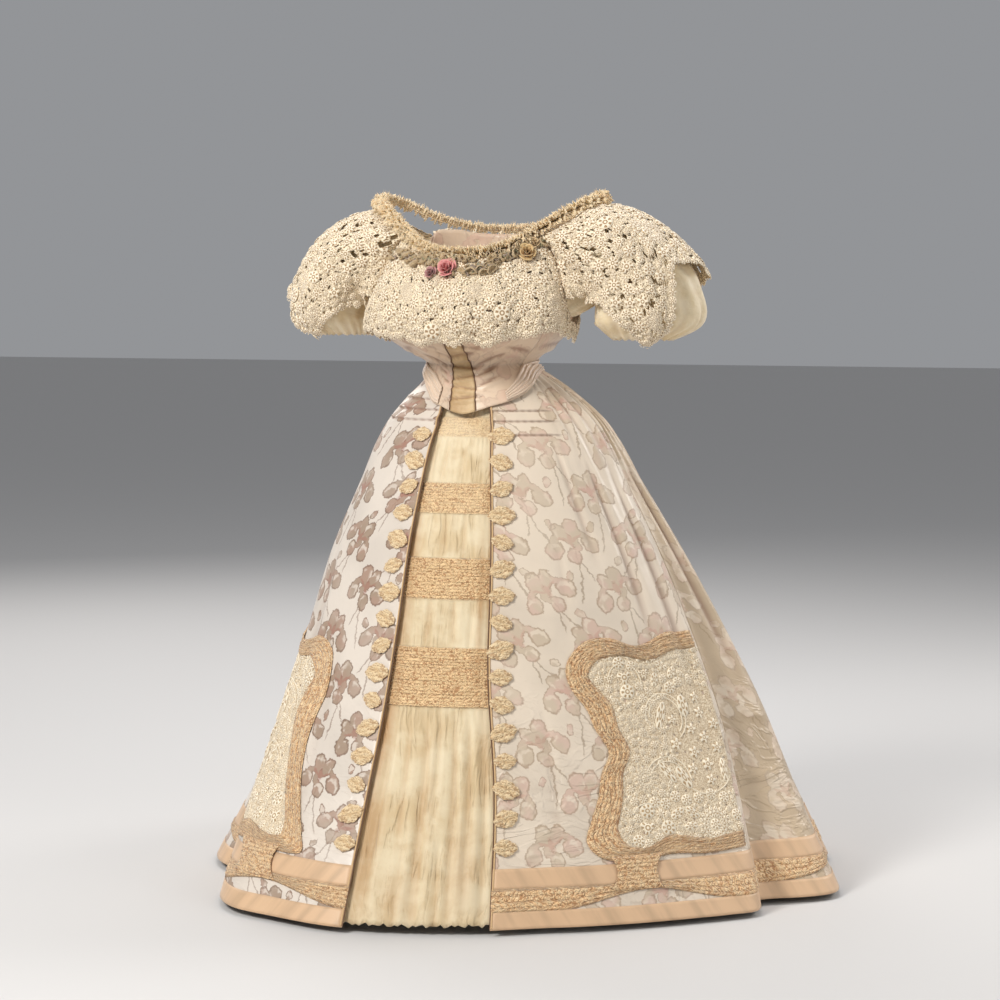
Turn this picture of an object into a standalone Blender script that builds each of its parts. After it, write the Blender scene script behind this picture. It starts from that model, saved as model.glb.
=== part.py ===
"""A two-piece ball gown of about 1895, hollow, in the pose it has when it is worn.

Metres, +Z up. The front faces -Y and the wearer's left side is +X. The origin is the centre of the waist,
where the wearer holds the gown up. Angles go round the body in degrees: 0 is the centre front, positive
towards the wearer's left side, 180 the centre back. "Drop" is the distance below the waist.
"""

import math
from collections import namedtuple

import bmesh
import bpy
import numpy as np
from mathutils.geometry import delaunay_2d_cdt

# Driving sizes: the clear joint between two sewn pieces, the skirt's length, and each cloth's thickness
SEAM = 0.0003
HEM = 1.018
BROCADE = 0.0015
SATIN = 0.0012
CHIFFON = 0.0010
LACE = 0.0014

Section = namedtuple("Section", "drop half_width half_depth back_shift side_shift")
SKIRT_SECTIONS = [
    Section(0.000, 0.1045, 0.0885, 0.000, 0.000),
    Section(0.034, 0.137, 0.112, 0.014, 0.014),
    Section(0.074, 0.182, 0.135, 0.022, 0.018),
    Section(0.114, 0.220, 0.160, 0.030, 0.020),
    Section(0.154, 0.245, 0.186, 0.034, 0.021),
    Section(0.234, 0.279, 0.238, 0.050, 0.024),
    Section(0.354, 0.336, 0.311, 0.072, 0.029),
    Section(0.514, 0.400, 0.397, 0.105, 0.037),
    Section(0.674, 0.462, 0.480, 0.126, 0.042),
    Section(0.834, 0.520, 0.560, 0.127, 0.045),
    Section(1.018, 0.600, 0.646, 0.121, 0.045),
]

# Flutes of the hem: the skirt's radius at the hem, by angle. The even angles between are grid columns too.
Flute = namedtuple("Flute", "angle hem_radius")
SKIRT_FLUTES = [
    Flute(-194, 0.690), Flute(-180, 0.630), Flute(-166, 0.690), Flute(-152, 0.620),
    Flute(-138, 0.670), Flute(-124, 0.605), Flute(-110, 0.640), Flute(-96, 0.590),
    Flute(-82, 0.625), Flute(-70, 0.632), Flute(-62, 0.615), Flute(-55, 0.580),
    Flute(-48, 0.612), Flute(-40, 0.680), Flute(-32, 0.714), Flute(-22, 0.705),
    Flute(-9, 0.697), Flute(2, 0.668), Flute(14, 0.637), Flute(21, 0.618),
    Flute(30, 0.612), Flute(41, 0.614), Flute(50, 0.624), Flute(57, 0.640),
    Flute(62.5, 0.650), Flute(65.5, 0.628), Flute(68, 0.602), Flute(71, 0.612),
    Flute(75, 0.652), Flute(80, 0.688), Flute(86, 0.675), Flute(93, 0.630),
    Flute(100, 0.600), Flute(112, 0.632), Flute(125, 0.595), Flute(138, 0.665),
    Flute(152, 0.620), Flute(166, 0.690), Flute(180, 0.630), Flute(194, 0.690),
]
FLUTES_START = 0.05

# Where lines that follow the cloth down the skirt stand: their angles at five heights
Grain = namedtuple("Grain", "drop right_back right_side right_fold right_edge left_edge left_fold left_back")
SKIRT_GRAIN = [
    Grain(0.00, -124, -92, -70, -25.0, 15.5, 84.0, 125),
    Grain(0.11, -124, -89, -69, -23.0, 16.5, 81.5, 125),
    Grain(0.22, -124, -86, -68, -19.5, 15.0, 79.5, 125),
    Grain(0.34, -124, -80, -63, -16.5, 14.0, 77.0, 125),
    Grain(0.55, -124, -72, -53, -13.5, 11.5, 73.0, 125),
    Grain(0.80, -124, -63, -42, -11.0, 13.5, 68.5, 125),
    Grain(1.018, -124, -55, -32, -9.0, 14.0, 62.5, 125),
]
BACK_SEAM = 180
RIGHT_BACK_SEAM, RIGHT_SIDE_SEAM, RIGHT_EDGE = -124, -55, -9
LEFT_EDGE, LEFT_SIDE_SEAM, LEFT_BACK_SEAM = 14, 68, 125

# Rows of the skirt's grid; the last four are the edges of the two satin hem bands
SKIRT_DROPS = [
    0.0, 0.034, 0.067, 0.077, 0.087, 0.097, 0.107, 0.119, 0.133, 0.152,
    0.21, 0.28, 0.38, 0.50, 0.64, 0.79, 0.916, 0.951, 0.988, HEM,
]
UPPER_BAND = (0.916, 0.951)
LOWER_BAND = (0.988, HEM)
RIGHT_TUCKS = (0.067, 0.087, 0.107)
LEFT_TUCKS = (0.087, 0.107, 0.133)
TUCK_RELIEF = 0.0022
GATHER_RELIEF = 0.0032

BROCADE_COLOUR = (0.78, 0.69, 0.62)
CHIFFON_COLOUR = (0.72, 0.57, 0.36)
RUCHE_COLOUR = (0.62, 0.45, 0.24)
BAND_COLOUR = (0.75, 0.55, 0.38)
LACE_COLOUR = (0.80, 0.71, 0.55)

Grid = namedtuple("Grid", "columns drops points normals")
COLLECTION = "ball_gown"

for leftover in list(bpy.data.objects):
    bpy.data.objects.remove(leftover)
bpy.context.scene.collection.children.link(bpy.data.collections.new(COLLECTION))


def curve_through(rows, column):
    """A smooth curve through one named column of a table, read by the table's first column."""
    places = np.array([row[0] for row in rows], float)
    values = np.array([getattr(row, column) for row in rows], float)
    slopes = np.gradient(values, places)

    def value(x):
        i = int(np.clip(np.searchsorted(places, x) - 1, 0, len(places) - 2))
        step = places[i + 1] - places[i]
        t = float(np.clip((x - places[i]) / step, 0.0, 1.0))
        return (
            values[i] * (1 + 2 * t) * (1 - t) ** 2
            + slopes[i] * step * t * (1 - t) ** 2
            + values[i + 1] * t * t * (3 - 2 * t)
            - slopes[i + 1] * step * t * t * (1 - t)
        )

    return value


def ease(x):
    """0 below 0, 1 above 1, and a smooth rise between."""
    t = min(max(x, 0.0), 1.0)
    return t * t * (3 - 2 * t)


def unit(vector):
    return vector / np.linalg.norm(vector)


def ellipse_radius(angle, half_width, half_depth):
    """Distance from an ellipse's centre to its edge, in the direction of this angle from the front."""
    a = math.radians(angle)
    return 1.0 / math.hypot(math.sin(a) / half_width, math.cos(a) / half_depth)


def surface_frame(surface, u, v, du, dv):
    """A point of a surface and its outward direction; u runs round the body and v runs down it."""
    across = surface(u + du, v) - surface(u - du, v)
    down = surface(u, v + dv) - surface(u, v - dv)
    return surface(u, v), unit(np.cross(down, across))


def even_columns(angles, widest):
    """The given angles with even steps put between them, none wider than the widest."""
    columns = [angles[0]]
    for start, end in zip(angles, angles[1:]):
        steps = max(1, math.ceil((end - start) / widest - 1e-6))
        columns += [start + (end - start) * k / steps for k in range(1, steps + 1)]
    return columns


def make_material(name, colour, roughness):
    material = bpy.data.materials.new(name)
    material.use_nodes = True
    shader = material.node_tree.nodes["Principled BSDF"]
    shader.inputs["Base Color"].default_value = (*colour, 1.0)
    shader.inputs["Roughness"].default_value = roughness
    shader.inputs["Metallic"].default_value = 0.0
    return material


def make_object(name, vertices, faces, colour, roughness):
    """One named, closed body from vertices and faces, with its faces turned outwards."""
    mesh = bpy.data.meshes.new(name)
    mesh.from_pydata([tuple(v) for v in vertices], [], faces)
    shell = bmesh.new()
    shell.from_mesh(mesh)
    bmesh.ops.recalc_face_normals(shell, faces=shell.faces)
    shell.to_mesh(mesh)
    shell.free()
    mesh.materials.append(make_material(name, colour, roughness))
    for polygon in mesh.polygons:
        polygon.use_smooth = True
    body = bpy.data.objects.new(name, mesh)
    bpy.data.collections[COLLECTION].objects.link(body)
    return body


def cloth_wall(name, outer, inner, colour, roughness, ring=False, gaps=()):
    """A closed cloth wall between two grids of points, cut through at the cells named in gaps."""
    outer, inner = np.asarray(outer), np.asarray(inner)
    rows, columns = outer.shape[:2]
    across = columns if ring else columns - 1
    count = rows * columns
    vertices = np.concatenate([outer.reshape(-1, 3), inner.reshape(-1, 3)])
    faces = []
    rim = {}
    for i in range(rows - 1):
        for j in range(across):
            if (i, j) in gaps:
                continue
            k = (j + 1) % columns
            a, b, c, d = i * columns + j, i * columns + k, (i + 1) * columns + k, (i + 1) * columns + j
            faces += [(a, c, b), (a, d, c)]
            faces += [(a + count, b + count, c + count), (a + count, c + count, d + count)]
            for edge in ((a, b), (b, c), (c, d), (d, a)):
                if (edge[1], edge[0]) in rim:
                    del rim[(edge[1], edge[0])]
                else:
                    rim[edge] = True
    # Sorting the corners gives the rims on both sides of a joint the same diagonal
    for edge in rim:
        a, b = sorted(edge)
        faces += [(a, b, b + count), (a, b + count, a + count)]
    used = sorted({k for face in faces for k in face})
    place = {k: n for n, k in enumerate(used)}
    faces = [tuple(place[k] for k in face) for face in faces]
    return make_object(name, vertices[used], faces, colour, roughness)


# The skirt's surface, which the overskirt, the underskirt and every trim of the skirt share

section_half_width = curve_through(SKIRT_SECTIONS, "half_width")
section_half_depth = curve_through(SKIRT_SECTIONS, "half_depth")
section_back_shift = curve_through(SKIRT_SECTIONS, "back_shift")
section_side_shift = curve_through(SKIRT_SECTIONS, "side_shift")
hem_radius = curve_through(SKIRT_FLUTES, "hem_radius")
GRAIN_LINES = [
    (RIGHT_BACK_SEAM, curve_through(SKIRT_GRAIN, "right_back")),
    (RIGHT_SIDE_SEAM, curve_through(SKIRT_GRAIN, "right_side")),
    (-32, curve_through(SKIRT_GRAIN, "right_fold")),
    (RIGHT_EDGE, curve_through(SKIRT_GRAIN, "right_edge")),
    (LEFT_EDGE, curve_through(SKIRT_GRAIN, "left_edge")),
    (62.5, curve_through(SKIRT_GRAIN, "left_fold")),
    (LEFT_BACK_SEAM, curve_through(SKIRT_GRAIN, "left_back")),
]
PLAIN_HEM = (SKIRT_SECTIONS[-1].half_width, SKIRT_SECTIONS[-1].half_depth)


def skirt_angle(column, drop):
    """The angle at which a line of the cloth, named by its angle at the hem, stands at this drop."""
    named = [-194, -BACK_SEAM] + [line for line, _ in GRAIN_LINES] + [BACK_SEAM, 194]
    standing = [-194, -BACK_SEAM] + [curve(drop) for _, curve in GRAIN_LINES] + [BACK_SEAM, 194]
    return float(np.interp(column, named, standing))


def skirt_surface(column, drop):
    """The overskirt's outer face, with its flutes and without gathers or tucks."""
    angle = skirt_angle(column, drop)
    a = math.radians(angle)
    plain = ellipse_radius(angle, section_half_width(drop), section_half_depth(drop))
    fluting = max(0.0, (drop - FLUTES_START) / (HEM - FLUTES_START)) ** 0.8
    radius = plain * (1 + fluting * (hem_radius(column) / ellipse_radius(column, *PLAIN_HEM) - 1))
    back, side = section_back_shift(drop), section_side_shift(drop)
    return np.array([side + radius * math.sin(a), back - radius * math.cos(a), -drop])


def skirt_relief(column, drop, is_ridge):
    """How far gathers and tucks raise the cloth off the skirt's plain surface."""
    from_edge = RIGHT_EDGE - column if column < 0 else column - LEFT_EDGE
    if from_edge < 0:
        return 0.0
    waist_fade = ease(drop / 0.06)
    gather = GATHER_RELIEF * waist_fade * ease((0.22 - drop) / 0.16) * ease((from_edge - 24) / 16)
    tucks = RIGHT_TUCKS if column < 0 else LEFT_TUCKS
    near_front = ease((34 - from_edge) / 10)
    raised = TUCK_RELIEF * near_front if any(abs(drop - tuck) < 1e-6 for tuck in tucks) else 0.0
    return raised + (gather if is_ridge else -gather)


def skirt_grid(columns, drops, plain=False):
    points, normals = [], []
    for drop in drops:
        row = [surface_frame(skirt_surface, column, drop, 0.4, 0.002) for column in columns]
        lifts = [0.0 if plain else skirt_relief(c, drop, k % 2) for k, c in enumerate(columns)]
        points.append([point + normal * lift for (point, normal), lift in zip(row, lifts)])
        normals.append([normal for _, normal in row])
    return Grid(np.array(columns, float), np.array(drops, float), np.array(points), np.array(normals))


def read_grid(grid, column, drop):
    """The point and outward direction at any place on a grid's flat facets."""
    j = int(np.clip(np.searchsorted(grid.columns, column) - 1, 0, len(grid.columns) - 2))
    i = int(np.clip(np.searchsorted(grid.drops, drop) - 1, 0, len(grid.drops) - 2))
    u = (column - grid.columns[j]) / (grid.columns[j + 1] - grid.columns[j])
    v = (drop - grid.drops[i]) / (grid.drops[i + 1] - grid.drops[i])
    corner = (i, j + 1) if u > v else (i + 1, j)
    weights = ((i, j, 1 - max(u, v)), (*corner, abs(u - v)), (i + 1, j + 1, min(u, v)))
    point = sum(weight * grid.points[a, b] for a, b, weight in weights)
    normal = sum(weight * grid.normals[a, b] for a, b, weight in weights)
    return point, unit(normal)


def cut_seams(points, left=True, right=True):
    """Draw the first and last columns of a grid in by half a joint, so that sewn pieces stand clear."""
    cut = points.copy()
    for here, near, wanted in ((0, 1, left), (-1, -2, right)):
        if wanted:
            seam = np.gradient(points[:, here], axis=0)
            seam /= np.linalg.norm(seam, axis=1, keepdims=True)
            away = points[:, near] - points[:, here]
            away -= seam * np.sum(away * seam, axis=1, keepdims=True)
            cut[:, here] += (SEAM / 2) * away / np.linalg.norm(away, axis=1, keepdims=True)
    return cut


def skirt_slice(grid, start, end):
    """The part of a grid between two of its columns."""
    j, k = (int(np.argmin(abs(grid.columns - x))) for x in (start, end))
    return Grid(grid.columns[j:k + 1], grid.drops, grid.points[:, j:k + 1], grid.normals[:, j:k + 1])


def skirt_rows(grid, top, bottom):
    """The part of a grid between two of its rows."""
    i, k = (int(np.argmin(abs(grid.drops - x))) for x in (top, bottom))
    return Grid(grid.columns, grid.drops[i:k + 1], grid.points[i:k + 1], grid.normals[i:k + 1])


def skirt_piece(name, grid, lift, thickness, colour, roughness):
    outer = cut_seams(grid.points + grid.normals * (lift + thickness))
    inner = cut_seams(grid.points + grid.normals * lift)
    return cloth_wall(name, outer, inner, colour, roughness)


DEGREE = 0.0105  # metres of cloth to a degree of the lower skirt, for drawing trims flat


def cloth_patch(name, grid, outline, holes, spine, lift, thickness, spine_relief, colour, roughness):
    """A trim of any outline laid on a grid's facets, with cut holes and a raised line of spine points."""
    box = (
        min(c for c, _ in outline) - 6, max(c for c, _ in outline) + 6,
        min(d for _, d in outline) - 0.1, max(d for _, d in outline) + 0.1,
    )
    js = [j for j, c in enumerate(grid.columns) if box[0] <= c <= box[1]]
    rows = [i for i, d in enumerate(grid.drops) if box[2] <= d <= box[3]]
    flat, edges = [], []
    number = {}
    for i in rows:
        for j in js:
            number[i, j] = len(flat)
            flat.append((grid.columns[j] * DEGREE, grid.drops[i]))
    for (i, j), k in number.items():
        edges += [(k, number[near]) for near in ((i, j + 1), (i + 1, j), (i + 1, j + 1)) if near in number]
    for loop in [outline, *holes]:
        first = len(flat)
        flat += [(c * DEGREE, d) for c, d in loop]
        edges += [(first + k, first + (k + 1) % len(loop)) for k in range(len(loop))]
    flat += [(c * DEGREE, d) for c, d in spine]
    found, _, triangles, *_ = delaunay_2d_cdt([tuple(map(float, p)) for p in flat], edges, [], 0, 1e-6, False)

    def inside(x, y, loop):
        count = 0
        for (x0, y0), (x1, y1) in zip(loop, loop[1:] + loop[:1]):
            if (y0 > y) != (y1 > y) and x < x0 + (y - y0) * (x1 - x0) / (y1 - y0):
                count += 1
        return count % 2 == 1

    loops = [[(c * DEGREE, d) for c, d in loop] for loop in [outline, *holes]]
    kept = []
    for triangle in triangles:
        corners = [found[k] for k in triangle]
        x, y = (sum(p[axis] for p in corners) / 3 for axis in (0, 1))
        if inside(x, y, loops[0]) and not any(inside(x, y, loop) for loop in loops[1:]):
            kept.append(tuple(triangle))
    used = sorted({k for triangle in kept for k in triangle})
    place = {k: n for n, k in enumerate(used)}
    rim = {}
    for triangle in kept:
        for a, b in zip(triangle, triangle[1:] + triangle[:1]):
            if (b, a) in rim:
                del rim[(b, a)]
            else:
                rim[(a, b)] = True
    edge_points = {k for edge in rim for k in edge}
    frames = [read_grid(grid, found[k][0] / DEGREE, found[k][1]) for k in used]
    raised = [0.0 if k in edge_points else spine_relief for k in used]
    outer = [p + n * (lift + thickness + relief) for (p, n), relief in zip(frames, raised)]
    inner = [p + n * lift for p, n in frames]
    count = len(used)
    faces = [tuple(place[k] for k in triangle) for triangle in kept]
    faces += [tuple(place[k] + count for k in reversed(triangle)) for triangle in kept]
    for a, b in rim:
        a, b = place[a], place[b]
        faces += [(a, a + count, b), (b, a + count, b + count)]
    return make_object(name, outer + inner, faces, colour, roughness)


# Overskirt: six brocade gores, flat-cut and flared, with three tucks and small gathers below the waist
flute_angles = [flute.angle for flute in SKIRT_FLUTES]
right_columns = even_columns([a for a in flute_angles if -BACK_SEAM <= a <= RIGHT_EDGE], 7.01)
left_columns = even_columns([a for a in flute_angles if LEFT_EDGE <= a <= BACK_SEAM], 7.01)
right_skirt = skirt_grid(right_columns, SKIRT_DROPS)
left_skirt = skirt_grid(left_columns, SKIRT_DROPS)
for name, grid, start, end in (
    ("skirt_front_right", right_skirt, RIGHT_SIDE_SEAM, RIGHT_EDGE),
    ("skirt_side_right", right_skirt, RIGHT_BACK_SEAM, RIGHT_SIDE_SEAM),
    ("skirt_back_right", right_skirt, -BACK_SEAM, RIGHT_BACK_SEAM),
    ("skirt_front_left", left_skirt, LEFT_EDGE, LEFT_SIDE_SEAM),
    ("skirt_side_left", left_skirt, LEFT_SIDE_SEAM, LEFT_BACK_SEAM),
    ("skirt_back_left", left_skirt, LEFT_BACK_SEAM, BACK_SEAM),
):
    skirt_piece(name, skirt_slice(grid, start, end), -BROCADE, BROCADE, BROCADE_COLOUR, 0.42)

# Underskirt: the pale gold chiffon panel behind the opening, with four shirred bands
SHIRRED_ROWS = [0.100, 0.134, 0.225, 0.252, 0.279, 0.365, 0.402, 0.439, 0.530, 0.565, 0.600, 0.635]
PANEL_LIFT = 0.0078
panel_columns = [-14, -10, -6, -1, 4, 9, 14, 19]
panel_drops, panel_raise = [0.0, 0.045], [0.0, 0.0]
for row, following in zip(SHIRRED_ROWS, SHIRRED_ROWS[1:] + [None]):
    panel_drops.append(row)
    panel_raise.append(0.0025)
    if following and following - row < 0.05:
        panel_drops.append((row + following) / 2)
        panel_raise.append(-0.0005)
panel_drops += [0.18, 0.32, 0.48, 0.72, 0.82, 0.92, HEM - 0.010]
panel_raise += [0.0] * 7
order = sorted(range(len(panel_drops)), key=lambda k: panel_drops[k])
panel_drops, panel_raise = [panel_drops[k] for k in order], [panel_raise[k] for k in order]
panel = skirt_grid(panel_columns, panel_drops, plain=True)
outer, inner = panel.points.copy(), panel.points.copy()
for i, (drop, raised) in enumerate(zip(panel_drops, panel_raise)):
    behind = BROCADE + 0.0009 + (PANEL_LIFT - BROCADE) * ease(drop / 0.09)
    for j, column in enumerate(panel_columns):
        loose = 0.0022 * (-1) ** j * ease((drop - 0.66) / 0.1)
        outer[i, j] += panel.normals[i, j] * (raised + loose - behind)
        inner[i, j] += panel.normals[i, j] * (min(raised, 0.0) + loose - behind - CHIFFON)
cloth_wall("underskirt_panel", outer, inner, CHIFFON_COLOUR, 0.6)

# Hem trims: two satin bands on each half, and ruched chiffon between them, cut in half moons
ARCHES = (-162, -116, -70, -25, 42, 88, 134, 172)
for side, grid in (("right", right_skirt), ("left", left_skirt)):
    for name, (top, bottom) in (("upper", UPPER_BAND), ("lower", LOWER_BAND)):
        skirt_piece(f"hem_band_{name}_{side}", skirt_rows(grid, top, bottom), SEAM, 0.0010, BAND_COLOUR, 0.4)
    outer, inner = np.zeros((3, len(grid.columns), 3)), np.zeros((3, len(grid.columns), 3))
    for j, column in enumerate(grid.columns):
        arch = max(ease(1 - abs(column - centre) / 17) for centre in ARCHES)
        top, bottom = UPPER_BAND[1] + 0.0012, LOWER_BAND[0] - 0.0012 - 0.026 * arch
        for i, (drop, raised) in enumerate(((top, 0.0), ((top + bottom) / 2, 0.0025), (bottom, 0.0))):
            point, normal = read_grid(grid, column, drop)
            outer[i, j] = point + normal * (0.0006 + CHIFFON + raised)
            inner[i, j] = point + normal * 0.0006
    cloth_wall(f"hem_ruche_{side}", cut_seams(outer), cut_seams(inner), RUCHE_COLOUR, 0.75)

# Lace panels above the hem, each framed by a ruched chiffon border: the border's outer and inner edges
Border = namedtuple("Border", "outer_column outer_drop inner_column inner_drop")
LEFT_BORDER = [
    Border(61.5, 0.516, 61.5, 0.545), Border(55, 0.514, 55, 0.546), Border(50, 0.528, 49, 0.560),
    Border(46, 0.533, 43.5, 0.549), Border(41, 0.517, 40, 0.549), Border(36, 0.518, 37, 0.553),
    Border(32, 0.540, 34.5, 0.575), Border(30, 0.570, 34.5, 0.590), Border(30.5, 0.605, 36, 0.612),
    Border(33, 0.645, 38, 0.640), Border(34, 0.680, 38.5, 0.680), Border(36, 0.722, 40, 0.722),
    Border(34, 0.760, 38, 0.762), Border(33, 0.800, 37.5, 0.800), Border(31.5, 0.838, 36.5, 0.836),
    Border(30.5, 0.878, 36, 0.862), Border(34, 0.908, 38, 0.888), Border(41, 0.913, 42, 0.893),
    Border(47, 0.907, 47, 0.877), Border(54, 0.912, 54, 0.888), Border(61.5, 0.908, 61.5, 0.883),
]
RIGHT_BORDER = [
    Border(-50, 0.520, -50, 0.550), Border(-43, 0.516, -43, 0.547), Border(-37, 0.538, -37, 0.566),
    Border(-31.5, 0.550, -31.5, 0.578), Border(-26, 0.534, -27.5, 0.572), Border(-22, 0.552, -25, 0.590),
    Border(-21, 0.592, -24.5, 0.610), Border(-21, 0.636, -25.5, 0.640), Border(-22, 0.680, -26.5, 0.680),
    Border(-22.5, 0.724, -26, 0.724), Border(-22, 0.782, -25, 0.782), Border(-20.8, 0.830, -24, 0.826),
    Border(-19.3, 0.876, -23, 0.862), Border(-19, 0.910, -23.5, 0.888), Border(-27, 0.912, -27, 0.890),
    Border(-32, 0.908, -31.5, 0.878), Border(-38, 0.912, -37, 0.886), Border(-44, 0.907, -44, 0.876),
    Border(-50, 0.912, -50, 0.884),
]


def inner_edge(rows, apart):
    """A border's inner edge as (column, drop) points, moved towards the lace by apart metres."""
    flat = [np.array([row.inner_column * DEGREE, row.inner_drop]) for row in rows]
    towards = [np.array([row.inner_column - row.outer_column, 0]) * DEGREE
               + np.array([0, row.inner_drop - row.outer_drop]) for row in rows]
    return [((p + unit(t) * apart)[0] / DEGREE, (p + unit(t) * apart)[1]) for p, t in zip(flat, towards)]


def lace_holes(rows, count):
    """Diamond holes between the lace's flowers, spread over the middle of a bordered panel."""
    low, high = min(r.inner_column for r in rows) + 8, max(r.inner_column for r in rows) - 5
    loops = []
    for k in range(count):
        column = low + (high - low) * ((k * 0.38) % 1.0)
        drop = 0.60 + 0.25 * (k + 0.5) / count
        loops.append([(column, drop - 0.006), (column + 0.55, drop), (column, drop + 0.006),
                      (column - 0.55, drop)])
    return loops


for side, rows, grid in (("left", LEFT_BORDER, left_skirt), ("right", RIGHT_BORDER, right_skirt)):
    outer_edge = [(row.outer_column, row.outer_drop) for row in rows]
    spine = [((row.outer_column + row.inner_column) / 2, (row.outer_drop + row.inner_drop) / 2)
             for row in rows[1:-1]]
    cloth_patch(f"lace_panel_border_{side}", grid, outer_edge + inner_edge(rows, 0.0)[::-1], [], spine,
                SEAM, CHIFFON, 0.0028, RUCHE_COLOUR, 0.75)
    cloth_patch(f"lace_panel_{side}", grid, inner_edge(rows, 0.0007), lace_holes(rows, 8), [],
                SEAM, LACE, 0.0, LACE_COLOUR, 0.7)

# Rosettes of ruched chiffon down each edge of the opening, sewn along one folded tape
ROSETTE_PITCH = 0.0496
Rosettes = namedtuple("Rosettes", "side from_edge half_width count")
for run in (Rosettes("right", 0.026, 0.0165, 16), Rosettes("left", 0.022, 0.0165, 16)):
    grid = right_skirt if run.side == "right" else left_skirt
    edge, way = (RIGHT_EDGE, -1) if run.side == "right" else (LEFT_EDGE, 1)
    outer, inner = [], []
    for k in range(3 * run.count + 1):
        link = k % 3 == 0
        drop = 0.112 + ROSETTE_PITCH * k / 3
        near, far = (skirt_surface(edge + way * step, drop) for step in (0.0, 2.0))
        degree = np.linalg.norm(far - near) / 2.0
        half, rises = (0.005, (0.001, 0.002, 0.001)) if link else (run.half_width, (0.004, 0.0095, 0.004))
        frames = [read_grid(grid, edge + way * (run.from_edge + half * x) / degree, drop) for x in (-1, 0, 1)]
        over_tucks = 0.0006 + TUCK_RELIEF * ease((0.17 - drop) / 0.015)
        outer.append([p + n * (over_tucks + CHIFFON + rise) for (p, n), rise in zip(frames, rises)])
        inner.append([p + n * over_tucks for p, n in frames])
    cloth_wall(f"rosettes_{run.side}", outer, inner, RUCHE_COLOUR, 0.75)


# The bodice's surface, which its panels, the sash and the lace share. Heights are above the waist.

BodiceSection = namedtuple("BodiceSection", "height half_width half_depth forward")
BODICE_SECTIONS = [
    BodiceSection(0.000, 0.1085, 0.0925, 0.000),
    BodiceSection(0.015, 0.124, 0.104, 0.012),
    BodiceSection(0.030, 0.150, 0.121, 0.028),
    BodiceSection(0.050, 0.176, 0.135, 0.044),
    BodiceSection(0.070, 0.192, 0.143, 0.053),
    BodiceSection(0.100, 0.200, 0.146, 0.056),
    BodiceSection(0.130, 0.202, 0.142, 0.050),
    BodiceSection(0.160, 0.200, 0.138, 0.040),
    BodiceSection(0.190, 0.196, 0.134, 0.028),
    BodiceSection(0.220, 0.190, 0.130, 0.017),
    BodiceSection(0.270, 0.178, 0.122, 0.004),
]
LEAN = 0.013  # how far the shoulders stand to the wearer's left of the waist

Edge = namedtuple("Edge", "angle bottom top")
BODICE_EDGES = [
    Edge(-185, -0.012, 0.258), Edge(-150, -0.012, 0.262), Edge(-130, -0.012, 0.268),
    Edge(-118, -0.012, 0.258), Edge(-112, -0.012, 0.220), Edge(-104, -0.012, 0.150),
    Edge(-95, -0.012, 0.106), Edge(-85, -0.014, 0.108), Edge(-75, -0.018, 0.158),
    Edge(-68, -0.023, 0.228), Edge(-61, -0.029, 0.258), Edge(-55, -0.035, 0.251),
    Edge(-42, -0.055, 0.234), Edge(-30, -0.073, 0.222), Edge(-18, -0.081, 0.215),
    Edge(-8, -0.089, 0.212), Edge(0, -0.0945, 0.211), Edge(8, -0.089, 0.212),
    Edge(18, -0.080, 0.215), Edge(30, -0.071, 0.222), Edge(42, -0.058, 0.234),
    Edge(55, -0.040, 0.251), Edge(61, -0.031, 0.258), Edge(68, -0.024, 0.228),
    Edge(75, -0.019, 0.158), Edge(85, -0.014, 0.108), Edge(95, -0.012, 0.106),
    Edge(104, -0.012, 0.150), Edge(112, -0.012, 0.220), Edge(118, -0.012, 0.258),
    Edge(130, -0.012, 0.268), Edge(150, -0.012, 0.262), Edge(185, -0.012, 0.258),
]
VestEdge = namedtuple("VestEdge", "height right_angle left_angle")
VEST_EDGES = [
    VestEdge(-0.095, -14.5, 5.7), VestEdge(-0.060, -16.5, 4.8), VestEdge(-0.030, -17.0, 5.3),
    VestEdge(0.000, -16.0, 7.0), VestEdge(0.030, -8.5, 8.0), VestEdge(0.100, -7.0, 9.0),
    VestEdge(0.215, -8.0, 10.0),
]
body_half_width = curve_through(BODICE_SECTIONS, "half_width")
body_half_depth = curve_through(BODICE_SECTIONS, "half_depth")
body_forward = curve_through(BODICE_SECTIONS, "forward")
bodice_bottom = curve_through(BODICE_EDGES, "bottom")
bodice_top = curve_through(BODICE_EDGES, "top")
vest_right = curve_through(VEST_EDGES, "right_angle")
vest_left = curve_through(VEST_EDGES, "left_angle")
BODICE_OVER_SKIRT = 0.0040
BODICE_SHARES = (0.07, 0.15, 0.28, 0.44, 0.62, 0.81, 1.0)


def bodice_surface(column, height):
    """The bodice's outer face. Its columns are angles, except that those near the vest follow its edges."""
    angle = float(np.interp(column, [-40, -8, 8, 40], [-40, vest_right(height), vest_left(height), 40]))
    angle = angle if abs(column) < 40 else column
    a = math.radians(angle)
    if height < 0:
        radius = ellipse_radius(angle, section_half_width(-height), section_half_depth(-height))
        radius += BODICE_OVER_SKIRT + 0.005 * min(1.0, -height / 0.03)
        side, forward = section_side_shift(-height), -section_back_shift(-height)
    else:
        radius = ellipse_radius(angle, body_half_width(height), body_half_depth(height))
        side, forward = LEAN * ease(height / 0.2), body_forward(height)
    return np.array([side + radius * math.sin(a), -forward - radius * math.cos(a), height])


def bodice_frame(column, height):
    point, inward = surface_frame(bodice_surface, column, height, 0.5, 0.0015)
    return point, -inward


def bodice_heights(column):
    bottom, top = bodice_bottom(column), bodice_top(column)
    return [bottom, bottom * 0.5, 0.0] + [top * share for share in BODICE_SHARES]


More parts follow.
